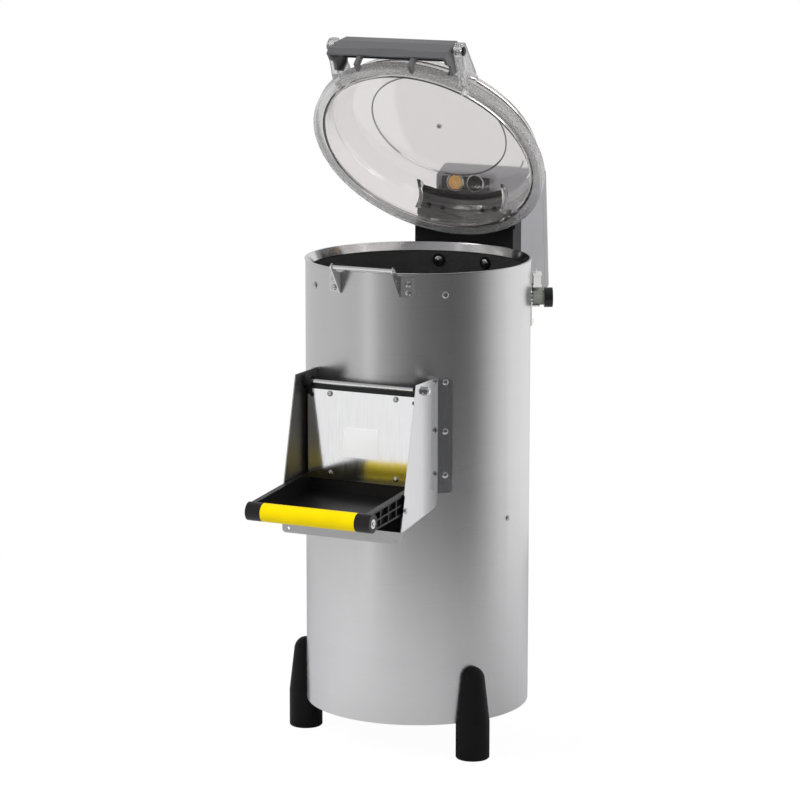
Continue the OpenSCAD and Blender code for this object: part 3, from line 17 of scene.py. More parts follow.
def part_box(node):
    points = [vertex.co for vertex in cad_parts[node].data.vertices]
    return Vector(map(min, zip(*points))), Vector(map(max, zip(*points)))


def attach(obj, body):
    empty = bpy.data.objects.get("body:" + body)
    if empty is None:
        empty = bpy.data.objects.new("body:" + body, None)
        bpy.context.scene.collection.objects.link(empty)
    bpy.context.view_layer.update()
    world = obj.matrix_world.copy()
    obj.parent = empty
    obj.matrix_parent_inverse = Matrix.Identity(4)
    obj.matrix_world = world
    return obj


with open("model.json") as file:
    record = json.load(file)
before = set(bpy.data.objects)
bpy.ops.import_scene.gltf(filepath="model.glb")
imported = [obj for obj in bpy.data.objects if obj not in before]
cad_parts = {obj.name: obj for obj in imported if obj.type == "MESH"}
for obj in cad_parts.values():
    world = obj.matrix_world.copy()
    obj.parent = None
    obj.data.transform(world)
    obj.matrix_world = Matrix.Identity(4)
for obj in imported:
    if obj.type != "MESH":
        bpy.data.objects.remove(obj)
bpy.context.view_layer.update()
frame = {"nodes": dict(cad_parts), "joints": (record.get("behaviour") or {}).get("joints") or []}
nodes = frame["nodes"]
print("solids loaded:", len(nodes), "nodes")

# %% [markdown]
# ## The camera
#
# The photograph was taken from about four and a half metres with a long lens, a little to the right of the
# door and a little above it. The place came from matching known points, such as the rim's circle and the
# feet, so the render can be laid over the photograph.

# %% Camera
AIM = Vector((-0.0216, -0.0104, 0.4559))
CAMERA_DISTANCE = 4.5019
CAMERA_AZIMUTH = math.radians(25.73)
CAMERA_ELEVATION = math.radians(10.717)
CAMERA_ROLL = math.radians(0.076)

out_from_aim = Vector((
    math.sin(CAMERA_AZIMUTH) * math.cos(CAMERA_ELEVATION),
    -math.cos(CAMERA_AZIMUTH) * math.cos(CAMERA_ELEVATION),
    math.sin(CAMERA_ELEVATION),
))
camera_data = bpy.data.cameras.new("camera")
camera_data.sensor_width = 36.0
camera_data.lens = 151.3
camera_data.clip_end = 60.0
camera = bpy.data.objects.new("camera", camera_data)
bpy.context.scene.collection.objects.link(camera)
camera.location = AIM + CAMERA_DISTANCE * out_from_aim
look = (-out_from_aim).to_track_quat("-Z", "Y")
camera.rotation_euler = (look.to_matrix() @ Matrix.Rotation(CAMERA_ROLL, 3, "Z")).to_euler()
bpy.context.scene.camera = camera
print("camera at", [round(v, 3) for v in camera.location])

# %% [markdown]
# ## Light
#
# Brushed steel shows the room more than it shows the lamps. The drum in the photograph is pale on its left,
# dark in a broad upright band right of its middle, and brightest at its right edge. So the world is a plain
# grey room with one dark wall, which only reflections see. What the camera sees directly, or through the
# clear lid, is white.

# %% World
scene = bpy.context.scene
scene.view_settings.view_transform = "Standard"
world = bpy.data.worlds.new("studio")
scene.world = world
world.use_nodes = True
world_nodes = world.node_tree.nodes
world_links = world.node_tree.links
world_nodes.clear()


def add_node(tree, kind, x=0, y=0, **settings):
    """A shader node with its settings, at a place in the editor."""
    made = tree.nodes.new(kind)
    made.location = (x, y)
    for name, value in settings.items():
        setattr(made, name, value)
    return made


def heading_ramp(tree, source, tones):
    """Greys by heading: pairs of degrees, from the door's side towards the right, and brightness."""
    split = add_node(tree, "ShaderNodeSeparateXYZ", -1000, 0)
    tree.links.new(source, split.inputs[0])
    minus_y = add_node(tree, "ShaderNodeMath", -800, -100, operation="MULTIPLY")
    minus_y.inputs[1].default_value = -1.0
    tree.links.new(split.outputs["Y"], minus_y.inputs[0])
    heading = add_node(tree, "ShaderNodeMath", -600, 0, operation="ARCTAN2")
    tree.links.new(split.outputs["X"], heading.inputs[0])
    tree.links.new(minus_y.outputs[0], heading.inputs[1])
    turn = add_node(tree, "ShaderNodeMapRange", -400, 0)
    turn.inputs["From Min"].default_value = -math.pi
    turn.inputs["From Max"].default_value = math.pi
    tree.links.new(heading.outputs[0], turn.inputs["Value"])
    made = add_node(tree, "ShaderNodeValToRGB", -200, 0)
    tree.links.new(turn.outputs["Result"], made.inputs["Fac"])
    stops = made.color_ramp
    while len(stops.elements) > 1:
        stops.elements.remove(stops.elements[-1])
    stops.elements[0].position = 0.0
    stops.elements[0].color = (tones[0][1],) * 3 + (1.0,)
    for angle, level in tones[1:]:
        stop = stops.elements.new((angle + 180) / 360)
        stop.color = (level, level, level, 1.0)
    return made.outputs["Color"]


# Brightness of the room by its heading
ROOM = [(-180, 0.85), (-150, 0.72), (-110, 0.60), (-60, 0.58), (-31, 0.50), (-28.5, 0.95), (-23, 0.95),
        (-20, 0.46), (-4, 0.30), (20, 0.13), (62, 0.07), (86, 0.13), (108, 0.55), (132, 0.88), (180, 0.92)]
direction = add_node(world.node_tree, "ShaderNodeTexCoord", -1200, 0)
room = heading_ramp(world.node_tree, direction.outputs["Generated"], ROOM)
print("room drawn with", len(ROOM), "tones")

# %% World, continued: the roof is pale, and only reflections see the dark wall
height = add_node(world.node_tree, "ShaderNodeSeparateXYZ", -600, -300)
world_links.new(direction.outputs["Generated"], height.inputs[0])
lift = add_node(world.node_tree, "ShaderNodeMapRange", -400, -300)
lift.inputs["From Min"].default_value = 0.25
lift.inputs["From Max"].default_value = 0.9
world_links.new(height.outputs["Z"], lift.inputs["Value"])
roofed = add_node(world.node_tree, "ShaderNodeMix", 0, 0, data_type="RGBA")
roofed.inputs["B"].default_value = (0.42, 0.42, 0.43, 1.0)
world_links.new(lift.outputs["Result"], roofed.inputs["Factor"])
world_links.new(room, roofed.inputs["A"])

rays = add_node(world.node_tree, "ShaderNodeLightPath", -200, 500)
seen = add_node(world.node_tree, "ShaderNodeMath", 0, 400, operation="MAXIMUM")
world_links.new(rays.outputs["Is Camera Ray"], seen.inputs[0])
world_links.new(rays.outputs["Is Transmission Ray"], seen.inputs[1])

reflected = add_node(world.node_tree, "ShaderNodeBackground", 200, 0)
world_links.new(roofed.outputs["Result"], reflected.inputs["Color"])
ambient = add_node(world.node_tree, "ShaderNodeBackground", 200, -200)
ambient.inputs["Color"].default_value = (0.9, 0.9, 0.92, 1.0)
ambient.inputs["Strength"].default_value = 0.70
white = add_node(world.node_tree, "ShaderNodeBackground", 200, 200)
white.inputs["Color"].default_value = (1.0, 1.0, 1.0, 1.0)
by_gloss = add_node(world.node_tree, "ShaderNodeMixShader", 450, -50)
world_links.new(rays.outputs["Is Glossy Ray"], by_gloss.inputs[0])
world_links.new(ambient.outputs[0], by_gloss.inputs[1])
world_links.new(reflected.outputs[0], by_gloss.inputs[2])
by_camera = add_node(world.node_tree, "ShaderNodeMixShader", 650, 50)
world_links.new(seen.outputs[0], by_camera.inputs[0])
world_links.new(by_gloss.outputs[0], by_camera.inputs[1])
world_links.new(white.outputs[0], by_camera.inputs[2])
world_out = add_node(world.node_tree, "ShaderNodeOutputWorld", 850, 50)
world_links.new(by_camera.outputs[0], world_out.inputs["Surface"])
print("world ready")

# %% [markdown]
# Three large soft lamps model the plastics: one high at the front left, and weaker ones at the right and
# behind. Reflections don't see them, so that no hard spot shows in the steel.

# %% Lamps


def soft_lamp(name, place, aim, size, power):
    """A square area lamp that points at a place."""
    data = bpy.data.lights.new(name, "AREA")
    data.shape = "SQUARE"
    data.size = size
    data.energy = power
    lamp = bpy.data.objects.new(name, data)
    scene.collection.objects.link(lamp)
    lamp.location = place
    lamp.visible_glossy = False
    lamp.rotation_euler = (Vector(aim) - Vector(place)).to_track_quat("-Z", "Y").to_euler()
    return lamp


soft_lamp("key_lamp", (-1.9, -2.3, 2.6), (0, 0, 0.5), 1.8, 64)
soft_lamp("fill_lamp", (2.6, -0.4, 1.6), (0, 0, 0.5), 1.6, 36)
soft_lamp("back_lamp", (0.4, 2.4, 2.2), (0, 0, 0.7), 1.6, 22)

# %% [markdown]
# The floor is a round pale sheet. The camera sees it nearly white, with the shadows under the feet left in.
# Its size matters: the lower half of the drum mirrors the floor and is pale, while the upper half mirrors
# what lies past the floor's edge, which is the room with its dark wall. The floor's colour carries painted
# shade: it is darker towards that wall and behind the drum, so the drum's dark band fades downwards and
# doesn't end at once.

# %% Floor
FLOOR_RADIUS = 1.2
# Painted shade in the floor's grey, by heading: darker towards the dark wall and behind the drum
PAINTED_FLOOR_SHADE = [(-180, 0.42), (-130, 0.42), (-100, 0.66), (-40, 0.72), (0, 0.66), (40, 0.54), (70, 0.41),
              (96, 0.41), (125, 0.58), (150, 0.66), (180, 0.42)]
FLOOR_GLOW = 1.05
FLOOR_GLOW_SHARE = 0.92
bpy.ops.object.select_all(action="DESELECT")
bpy.ops.mesh.primitive_circle_add(
    vertices=96, radius=FLOOR_RADIUS, fill_type="NGON", location=(0, 0, 0))
floor = bpy.context.object
floor.name = "floor"
floor_paint_and_shade = bpy.data.materials.new("floor_paint_and_shade")
floor_paint_and_shade.use_nodes = True
floor_tree = floor_paint_and_shade.node_tree
floor_tree.nodes.clear()
floor_matt = add_node(floor_tree, "ShaderNodeBsdfDiffuse", 0, 0)
floor_glow = add_node(floor_tree, "ShaderNodeEmission", 0, -200)
floor_glow.inputs["Strength"].default_value = FLOOR_GLOW
floor_rays = add_node(floor_tree, "ShaderNodeLightPath", -400, 200)
floor_eyes = add_node(floor_tree, "ShaderNodeMath", -300, 200, operation="MAXIMUM")
floor_tree.links.new(floor_rays.outputs["Is Camera Ray"], floor_eyes.inputs[0])
floor_tree.links.new(floor_rays.outputs["Is Transmission Ray"], floor_eyes.inputs[1])
floor_seen = add_node(floor_tree, "ShaderNodeMath", -200, 200, operation="MULTIPLY")
floor_seen.inputs[1].default_value = FLOOR_GLOW_SHARE
floor_tree.links.new(floor_eyes.outputs[0], floor_seen.inputs[0])
floor_mix = add_node(floor_tree, "ShaderNodeMixShader", 200, 0)
floor_tree.links.new(floor_seen.outputs[0], floor_mix.inputs[0])
floor_tree.links.new(floor_matt.outputs[0], floor_mix.inputs[1])
floor_tree.links.new(floor_glow.outputs[0], floor_mix.inputs[2])
floor_place = add_node(floor_tree, "ShaderNodeTexCoord", -1200, -400)
# The floor's diffuse colour takes the painted shade by heading
painted_floor_shade = heading_ramp(floor_tree, floor_place.outputs["Object"], PAINTED_FLOOR_SHADE)
floor_tree.links.new(painted_floor_shade, floor_matt.inputs["Color"])
floor_end = add_node(floor_tree, "ShaderNodeOutputMaterial", 400, 0)
floor_tree.links.new(floor_mix.outputs[0], floor_end.inputs["Surface"])
floor.data.materials.append(floor_paint_and_shade)
print("floor laid")

# %% [markdown]
# ## Finishes
#
# Every finish starts from the same few lines: a Principled shader, Object coordinates for the pattern, and
# one output. The solids lie in the machine's own frame, so Object coordinates are metres from the drum's
# axis.

# %% A finish to start from


def finish_start(name, colour, rough, metal=0.0):
    """A material with its Principled shader, and the Object coordinates that its pattern reads."""
    made = bpy.data.materials.new(name)
    made.use_nodes = True
    tree = made.node_tree
    shader = tree.nodes["Principled BSDF"]
    shader.inputs["Base Color"].default_value = (*colour, 1.0)
    shader.inputs["Roughness"].default_value = rough
    shader.inputs["Metallic"].default_value = metal
    place = add_node(tree, "ShaderNodeTexCoord", -1400, 0)
    return made, tree, shader, place.outputs["Object"]


def mapped(tree, source, scale=(1, 1, 1), turn=(0, 0, 0)):
    """The same coordinates, stretched and turned."""
    step = add_node(tree, "ShaderNodeMapping", -1200, 0)
    step.inputs["Scale"].default_value = scale
    step.inputs["Rotation"].default_value = turn
    tree.links.new(source, step.inputs["Vector"])
    return step.outputs["Vector"]


def noise(tree, source, scale, detail=3.0, rough=0.5):
    """A noise between 0 and 1."""
    made = add_node(tree, "ShaderNodeTexNoise", -900, 0)
    made.inputs["Scale"].default_value = scale
    made.inputs["Detail"].default_value = detail
    made.inputs["Roughness"].default_value = rough
    tree.links.new(source, made.inputs["Vector"])
    return made.outputs["Fac"]


def ranged(tree, source, low, high, from_low=0.3, from_high=0.7):
    """A value spread over a new range."""
    made = add_node(tree, "ShaderNodeMapRange", -600, 0)
    made.inputs["From Min"].default_value = from_low
    made.inputs["From Max"].default_value = from_high
    made.inputs["To Min"].default_value = low
    made.inputs["To Max"].default_value = high
    tree.links.new(source, made.inputs["Value"])
    return made.outputs["Result"]


def tinted(tree, source, shader, dark, light):
    """The base colour, from dark to light by a value."""
    made = add_node(tree, "ShaderNodeMix", -300, 200, data_type="RGBA")
    made.inputs["A"].default_value = (*dark, 1.0)
    made.inputs["B"].default_value = (*light, 1.0)
    tree.links.new(source, made.inputs["Factor"])
    tree.links.new(made.outputs["Result"], shader.inputs["Base Color"])


def bumped(tree, source, shader, strength, distance):
    """A bump from a height value."""
    made = add_node(tree, "ShaderNodeBump", -300, -300)
    made.inputs["Strength"].default_value = strength
    made.inputs["Distance"].default_value = distance
    tree.links.new(source, made.inputs["Height"])
    tree.links.new(made.outputs["Normal"], shader.inputs["Normal"])


print("finish helpers ready")

# %% [markdown]
# ### Brushed steel
#
# The drum's sheet was ground before it was rolled, so fine lines run along it, round the drum. In the pattern
# the height is stretched hugely and the way round hardly at all: each line is under a millimetre high and
# many centimetres long. A slower noise in the same direction gives the soft cloudy streaks, and a third one,
# the faint upright smears that wiping leaves. The left cheek, which stands in shade, and the chute under the
# door are plainer sheets, darker by painted shade.

# %% Brushed steel


def brushed_steel(name, colour, rough, fine, bump=0.04):
    """Steel ground along its length, with its lines across Z."""
    made, tree, shader, place = finish_start(name, colour, rough, 1.0)
    lines = noise(tree, mapped(tree, place, (3, 3, fine)), 1.0, 5.0, 0.65)
    clouds = noise(tree, mapped(tree, place, (2, 2, 22)), 1.0, 3.0)
    smears = noise(tree, mapped(tree, place, (14, 14, 1.6)), 1.0, 3.0)
    both = add_node(tree, "ShaderNodeMath", -700, 200, operation="MULTIPLY")
    tree.links.new(clouds, both.inputs[0])
    tree.links.new(smears, both.inputs[1])
    shade = ranged(tree, both.outputs[0], 0.0, 1.0, 0.12, 0.42)
    low = tuple(c * 0.965 for c in colour)
    tinted(tree, shade, shader, low, colour)
    grain = ranged(tree, lines, rough - 0.02, rough + 0.04)
    tree.links.new(grain, shader.inputs["Roughness"])
    bumped(tree, lines, shader, bump, 0.0004)
    return made


drum_steel = brushed_steel("drum_steel", (0.76, 0.755, 0.76), 0.29, 2600, 0.03)
sheet_steel = brushed_steel("sheet_steel", (0.66, 0.66, 0.67), 0.36, 1800)
# Painted shade: the left cheek stands in shade, so its sheet is a darker copy of the steel
painted_shade_steel = brushed_steel("painted_shade_steel", (0.50, 0.50, 0.49), 0.40, 1800)
# Painted shade: the chute lies in shadow under the door, so its sheet is darker too
chute_steel = brushed_steel("chute_steel", (0.50, 0.50, 0.50), 0.32, 1800)
print("brushed steels:", drum_steel.name, sheet_steel.name, painted_shade_steel.name)

# %% [markdown]
# ### Polished steel
#
# The rim, the right cheek and the door's plate are bright sheets. They are nearly mirrors, with a slight
# ripple from rolling, and hair scratches that only change the roughness.

# %% Polished steel


def polished_steel(name, colour, rough, ripple):
    """Bright sheet steel with hair scratches and a slow ripple."""
    made, tree, shader, place = finish_start(name, colour, rough, 1.0)
    hair = noise(tree, mapped(tree, place, (900, 900, 30), (0.2, 0.1, 0.4)), 1.0, 4.0, 0.7)
    grain = ranged(tree, hair, rough * 0.6, rough * 1.9)
    tree.links.new(grain, shader.inputs["Roughness"])
    wave = noise(tree, place, ripple, 1.0)
    bumped(tree, wave, shader, 0.25, 0.0012)
    return made


mirror_steel = polished_steel("mirror_steel", (0.85, 0.85, 0.86), 0.09, 16)
cheek_steel = polished_steel("cheek_steel", (0.735, 0.735, 0.75), 0.12, 16)
bright_steel = polished_steel("bright_steel", (0.80, 0.80, 0.80), 0.16, 60)
rim_steel = polished_steel("rim_steel", (0.66, 0.66, 0.66), 0.11, 16)
screw_steel = polished_steel("screw_steel", (0.66, 0.66, 0.67), 0.13, 300)
print("polished steels:", mirror_steel.name, bright_steel.name, screw_steel.name)

# %% [markdown]
# ### Plastics and rubber
#
# The black door, the grey box and the lever are moulded, with a very fine spark-eroded grain that spreads the
# highlights. The grain is a bump well under a tenth of a millimetre, with a slower cloud in the roughness.

# %% Moulded plastic


def moulded(name, colour, rough, grain=1500, depth=0.00012, cloud=0.06, specular=0.45):
    """Moulded plastic with a spark-eroded grain."""
    made, tree, shader, place = finish_start(name, colour, rough)
    shader.inputs["Specular IOR Level"].default_value = specular
    pits = noise(tree, place, grain, 2.0)
    slow = noise(tree, place, 22, 3.0)
    tinted(tree, ranged(tree, slow, 0.0, 1.0), shader, tuple(c * 0.9 for c in colour), colour)
    tree.links.new(ranged(tree, slow, rough - cloud, rough + cloud), shader.inputs["Roughness"])
    bumped(tree, pits, shader, 0.35, depth)
    return made


door_black = moulded("door_black", (0.009, 0.009, 0.0095), 0.36, specular=0.35)
box_grey = moulded("box_grey", (0.365, 0.365, 0.38), 0.46)
lever_grey = moulded("lever_grey", (0.112, 0.109, 0.112), 0.38)
hinge_grey = moulded("hinge_grey", (0.014, 0.0135, 0.015), 0.45, specular=0.18)
fascia_grey = moulded("fascia_grey", (0.07, 0.07, 0.075), 0.5)
leg_rubber = moulded("leg_rubber", (0.006, 0.006, 0.006), 0.5, 900, 0.0002, specular=0.12)
grip_yellow = moulded("grip_yellow", (1.0, 0.76, 0.0), 0.42, 1200, 0.00008, specular=0.08)
valve_white = moulded("valve_white", (0.88, 0.88, 0.85), 0.45)
valve_green = moulded("valve_green", (0.26, 0.28, 0.24), 0.5)
cap_black = moulded("cap_black", (0.01, 0.01, 0.01), 0.3)
cast_grey = moulded("cast_grey", (0.30, 0.30, 0.31), 0.6, 500, 0.0004)
motor_grey = moulded("motor_grey", (0.11, 0.12, 0.13), 0.5, 600, 0.0003)
print("moulded finishes ready")

# %% [markdown]
# ### Grit
#
# The lining and the turntable are coated with coarse carborundum, dark grey with a glint. A cell pattern
# gives each grain its own height and shade.

# %% Grit
grit, grit_tree, grit_shader, grit_place = finish_start("grit", (0.02, 0.02, 0.02), 0.6)
cells = add_node(grit_tree, "ShaderNodeTexVoronoi", -900, 0)
cells.inputs["Scale"].default_value = 700
grit_tree.links.new(grit_place, cells.inputs["Vector"])
tinted(grit_tree, cells.outputs["Distance"], grit_shader, (0.010, 0.010, 0.010), (0.05, 0.048, 0.047))
grit_dull = ranged(grit_tree, cells.outputs["Distance"], 0.35, 0.8, 0.0, 0.8)
grit_tree.links.new(grit_dull, grit_shader.inputs["Roughness"])
bumped(grit_tree, cells.outputs["Distance"], grit_shader, 0.8, 0.0008)
print("grit ready")

# %% [markdown]
# ### The clear lid
#
# The lid is moulded from clear polycarbonate. It is a closed shell with an inside and an outside, so a
# transmitting shader bends the light truly. A little roughness and a faint grey tint stand for the haze of
# an injection moulding.
#
# Its flange is frosted in fine turned lines, a dark line runs round the crown, and the gate left a grey spot
# in the middle. All are circles about the lid's own axis. The lid stands open, so a Mapping node first turns
# the coordinates shut about the hinge pin, and the distance from the drum's axis then gives the circles.

# %% The lid's own coordinates
lid_hinge = [j for j in frame["joints"] if j["name"] == "lid_hinge"][0]
LID_OPEN = math.radians(lid_hinge["range_deg"][1])
HINGE_PIN = Vector(lid_hinge["pos_m"])
shut = Matrix.Rotation(LID_OPEN, 3, "X")
shut_move = HINGE_PIN - shut @ HINGE_PIN
print("lid turned shut by", round(math.degrees(LID_OPEN)), "degrees")

# %% Clear plastic
CLEAR_TINT = (0.775, 0.752, 0.743)
MARK_TINT = (0.12, 0.115, 0.11)
THROUGH_CLEAR = 0.96
THROUGH_FROST = 0.80
FROST_FROM = 0.1480
FROST_FULL = 0.1492
CROWN_LINE_R = 0.0945
CROWN_LINE_HALF_W = 0.0010
GATE_R = 0.0042
clear, clear_tree, clear_shader, clear_place = finish_start("clear_lid", CLEAR_TINT, 0.05)
clear_shader.inputs["IOR"].default_value = 1.49
closed_place = add_node(clear_tree, "ShaderNodeMapping", -1200, 300)
closed_place.inputs["Rotation"].default_value = (LID_OPEN, 0, 0)
closed_place.inputs["Location"].default_value = shut_move
clear_tree.links.new(clear_place, closed_place.inputs["Vector"])
flattened = add_node(clear_tree, "ShaderNodeVectorMath", -1000, 300, operation="MULTIPLY")
flattened.inputs[1].default_value = (1, 1, 0)
clear_tree.links.new(closed_place.outputs[0], flattened.inputs[0])
reach = add_node(clear_tree, "ShaderNodeVectorMath", -850, 300, operation="LENGTH")
clear_tree.links.new(flattened.outputs[0], reach.inputs[0])


def ring_mask(tree, radius_value, radius, half_width):
    """One on a circle of a radius, and zero past half a width from it."""
    away = add_node(tree, "ShaderNodeMath", -700, 400, operation="SUBTRACT")
    away.inputs[1].default_value = radius
    tree.links.new(radius_value, away.inputs[0])
    size = add_node(tree, "ShaderNodeMath", -600, 400, operation="ABSOLUTE")
    tree.links.new(away.outputs[0], size.inputs[0])
    return ranged(tree, size.outputs[0], 1.0, 0.0, half_width * 0.5, half_width)


frosted = ranged(clear_tree, reach.outputs["Value"], 0.0, 1.0, FROST_FROM, FROST_FULL)
crown_line = ring_mask(clear_tree, reach.outputs["Value"], CROWN_LINE_R, CROWN_LINE_HALF_W)
gate_spot = ring_mask(clear_tree, reach.outputs["Value"], 0.0, GATE_R)
marks = add_node(clear_tree, "ShaderNodeMath", -400, 500, operation="MAXIMUM")
clear_tree.links.new(crown_line, marks.inputs[0])
clear_tree.links.new(gate_spot, marks.inputs[1])
haze = noise(clear_tree, clear_place, 18, 3.0)
speckle = noise(clear_tree, clear_place, 900, 2.0)
smooth = ranged(clear_tree, haze, 0.03, 0.09)
frost = ranged(clear_tree, speckle, 0.14, 0.30)
surface = add_node(clear_tree, "ShaderNodeMix", -200, -100, data_type="FLOAT")
clear_tree.links.new(frosted, surface.inputs["Factor"])
clear_tree.links.new(smooth, surface.inputs["A"])
clear_tree.links.new(frost, surface.inputs["B"])
clear_tree.links.new(surface.outputs["Result"], clear_shader.inputs["Roughness"])
milky = ranged(clear_tree, frosted, THROUGH_CLEAR, THROUGH_FROST, 0.0, 1.0)
clear_tree.links.new(milky, clear_shader.inputs["Transmission Weight"])
flange_tint = add_node(clear_tree, "ShaderNodeMix", -200, 400, data_type="RGBA")
flange_tint.inputs["A"].default_value = (*CLEAR_TINT, 1.0)
turned_lines = add_node(clear_tree, "ShaderNodeCombineXYZ", -700, 700)
clear_tree.links.new(reach.outputs["Value"], turned_lines.inputs["X"])
turned_grey = ranged(clear_tree, noise(clear_tree, turned_lines.outputs[0], 900, 2.0), 0.58, 0.88)
clear_tree.links.new(turned_grey, flange_tint.inputs["B"])
clear_tree.links.new(frosted, flange_tint.inputs["Factor"])
marked_tint = add_node(clear_tree, "ShaderNodeMix", 0, 400, data_type="RGBA")
marked_tint.inputs["B"].default_value = (*MARK_TINT, 1.0)
clear_tree.links.new(marks.outputs[0], marked_tint.inputs["Factor"])
clear_tree.links.new(flange_tint.outputs["Result"], marked_tint.inputs["A"])
clear_tree.links.new(marked_tint.outputs["Result"], clear_shader.inputs["Base Color"])
bumped(clear_tree, noise(clear_tree, clear_place, 30, 1.0), clear_shader, 0.08, 0.0006)
print("clear plastic ready")

# %% Amber lamp button
amber, amber_tree, amber_shader, amber_place = finish_start("amber_button", (0.86, 0.48, 0.14), 0.25)
amber_shader.inputs["Emission Color"].default_value = (1.0, 0.60, 0.24, 1.0)
amber_shader.inputs["Emission Strength"].default_value = 0.16
tinted(amber_tree, ranged(amber_tree, noise(amber_tree, amber_place, 300, 2.0), 0.0, 1.0), amber_shader,
       (0.74, 0.38, 0.10), (0.92, 0.56, 0.20))
print("amber ready")

# %% [markdown]
# ### Dressing the solids
#
# Each node gets its finish by name. The list reads like a parts list, which makes a missing one easy to see.

# %% Finishes by node
DRESSED = {
    drum_steel: ["body_shell"],
    chute_steel: ["discharge_chute"],
    sheet_steel: ["drum_floor", "base_pan", "discharge_frame", "drain_spout", "motor_plate"],
    painted_shade_steel: ["cheek_left"],
    rim_steel: ["rim_ring"],
    mirror_steel: ["door_plate"],
    cheek_steel: ["cheek_right"],
    bright_steel: ["button_bezels", "latch_brackets", "latch_rod", "door_pivot_rod", "handle_tube",
                   "hinge_pin", "spray_nozzle", "drive_shaft", "motor_shaft", "bearings"],
    screw_steel: ["leg_bolts", "drum_screws", "cheek_screws", "rod_nuts", "door_screws", "hinge_bolts",
                  "box_screws", "drive_fasteners"],
    grit: ["abrasive_liner", "turntable_plate"],
    leg_rubber: ["leg_front_right", "leg_front_left", "leg_rear", "door_seal", "shaft_seal", "drive_belt"],
    clear: ["lid_dome"],
    hinge_grey: ["hinge_base", "lid_hinge_bracket"],
    fascia_grey: ["fascia"],
    lever_grey: ["lid_lever"],
    box_grey: ["control_box", "box_back_cover"],
    door_black: ["door_body"],
    cap_black: ["lever_pins", "switch_bodies", "stop_button", "cable_gland", "inlet_collar",
                "bracket_screws"],
    grip_yellow: ["handle_grip"],
    amber: ["start_button"],
    valve_green: ["valve_body"],
    valve_white: ["valve_coil", "valve_bracket"],
    cast_grey: ["bearing_housing", "driven_pulley", "motor_pulley"],
    motor_grey: ["motor_body"],
}
dressed = set()
for finish, names in DRESSED.items():
    for name in names:
        slots = nodes[name].data.materials
        if len(slots) == 0:
            slots.append(finish)
        for i in range(len(slots)):
            slots[i] = finish
        dressed.add(name)
print("dressed:", len(dressed), "left out:", sorted(set(nodes) - dressed))

# %% [markdown]
# ## The blank label
#
# A small white label is stuck on the door's steel plate. It starts as a grid at its size, its corners are
# rounded by a bevel on the four corner points, and it is left bare.

# %% Blank label
plate_low, plate_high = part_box("door_plate")
LABEL_X = -0.003
LABEL_Z = 0.427
LABEL_W = 0.050
LABEL_H = 0.040
LABEL_T = 0.0002
bpy.ops.object.select_all(action="DESELECT")
bpy.ops.mesh.primitive_plane_add(
    size=1, location=(LABEL_X, plate_low[1] - LABEL_T, LABEL_Z), rotation=(math.radians(90), 0, 0))
label = bpy.context.object
label.name = "door_label"
label.scale = (LABEL_W, LABEL_H, 1)
bpy.ops.object.transform_apply(location=True, rotation=True, scale=True)
bpy.ops.object.mode_set(mode="EDIT")
bpy.ops.mesh.select_all(action="SELECT")
bpy.ops.mesh.bevel(offset=0.002, segments=6, affect="VERTICES")
bpy.ops.mesh.extrude_region_move(TRANSFORM_OT_translate={"value": (0, LABEL_T * 0.9, 0)})
bpy.ops.mesh.select_all(action="SELECT")
bpy.ops.mesh.normals_make_consistent(inside=False)
bpy.ops.object.mode_set(mode="OBJECT")
paper = moulded("label_paper", (0.96, 0.96, 0.96), 0.38, 800, 0.00004)
paper_shader = paper.node_tree.nodes["Principled BSDF"]
# The paper's faint glow is painted light, which makes the white label stand out brighter against the plate
paper_shader.inputs["Emission Color"].default_value = (1.0, 1.0, 1.0, 1.0)
paper_shader.inputs["Emission Strength"].default_value = 0.14
label.data.materials.append(paper)
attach(label, "door")
print("label at height", LABEL_Z)

# %% [markdown]
# ## The lever's back wall
#
# The lever is a channel, and its thin back wall closes it towards the lid. It is made as it lies on the shut
# lid, and then turned open with it about the hinge pin.

# %% Lever back wall


def turned_open(point):
    """A point of the shut lid, carried to where it stands open."""
    return HINGE_PIN + shut.transposed() @ (Vector(point) - HINGE_PIN)


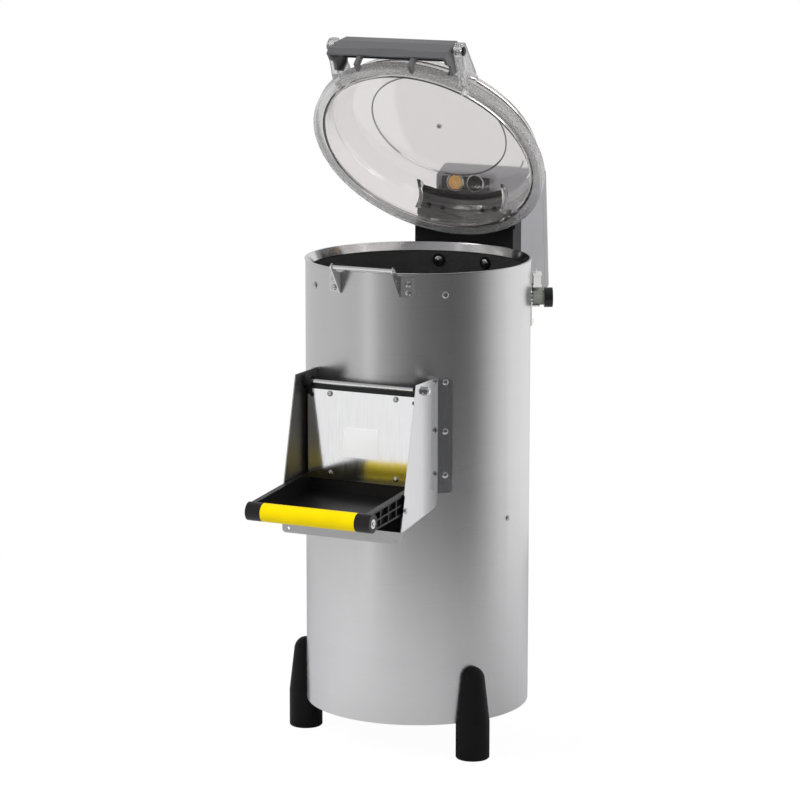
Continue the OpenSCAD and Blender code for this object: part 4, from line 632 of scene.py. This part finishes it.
BACK_HALF_W = 0.0755
BACK_Y = -0.1628
BACK_T = 0.0014
BACK_LOW = 0.6645
BACK_HIGH = 0.6910
bpy.ops.object.select_all(action="DESELECT")
bpy.ops.mesh.primitive_cube_add(size=1, location=(0, BACK_Y, (BACK_LOW + BACK_HIGH) / 2))
lever_back = bpy.context.object
lever_back.name = "lever_back"
lever_back.scale = (2 * BACK_HALF_W, BACK_T, BACK_HIGH - BACK_LOW)
bpy.ops.object.transform_apply(location=True, rotation=True, scale=True)
bpy.ops.object.mode_set(mode="EDIT")
bpy.ops.mesh.select_all(action="SELECT")
bpy.ops.mesh.bevel(offset=0.0005, segments=2, affect="EDGES")
bpy.ops.object.mode_set(mode="OBJECT")
for corner in lever_back.data.vertices:
    corner.co = turned_open(corner.co)
# The wall stands for the lever's rear flange; its darker fascia grey is painted shade for the shadowed inside
# of the channel
lever_back.data.materials.append(fascia_grey)
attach(lever_back, "lever")
print("lever back wall turned open")

# %% [markdown]
# ## Washers inside the drum
#
# The two bolts of the hinge come through the drum's back wall. A black rubber washer under each head keeps
# the water in.

# %% Bolt washers
WASHER_OUT = 0.1428
WASHER_Z = 0.6252
WASHER_R = 0.0068
WASHER_TUBE_R = 0.0020
BOLT_SPREAD = 14.1
for side, degrees in (("left", 180 - BOLT_SPREAD), ("right", 180 + BOLT_SPREAD)):
    around = math.radians(degrees)
    spot = (WASHER_OUT * math.sin(around), -WASHER_OUT * math.cos(around), WASHER_Z)
    bpy.ops.object.select_all(action="DESELECT")
    bpy.ops.mesh.primitive_torus_add(
        location=spot, rotation=(math.radians(90), 0, around), major_segments=40, minor_segments=12,
        major_radius=WASHER_R, minor_radius=WASHER_TUBE_R)
    washer = bpy.context.object
    washer.name = "bolt_washer_" + side
    bpy.ops.object.transform_apply(location=True, rotation=True, scale=True)
    bpy.ops.object.shade_smooth()
    washer.data.materials.append(leg_rubber)
    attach(washer, "machine")
print("washers laid")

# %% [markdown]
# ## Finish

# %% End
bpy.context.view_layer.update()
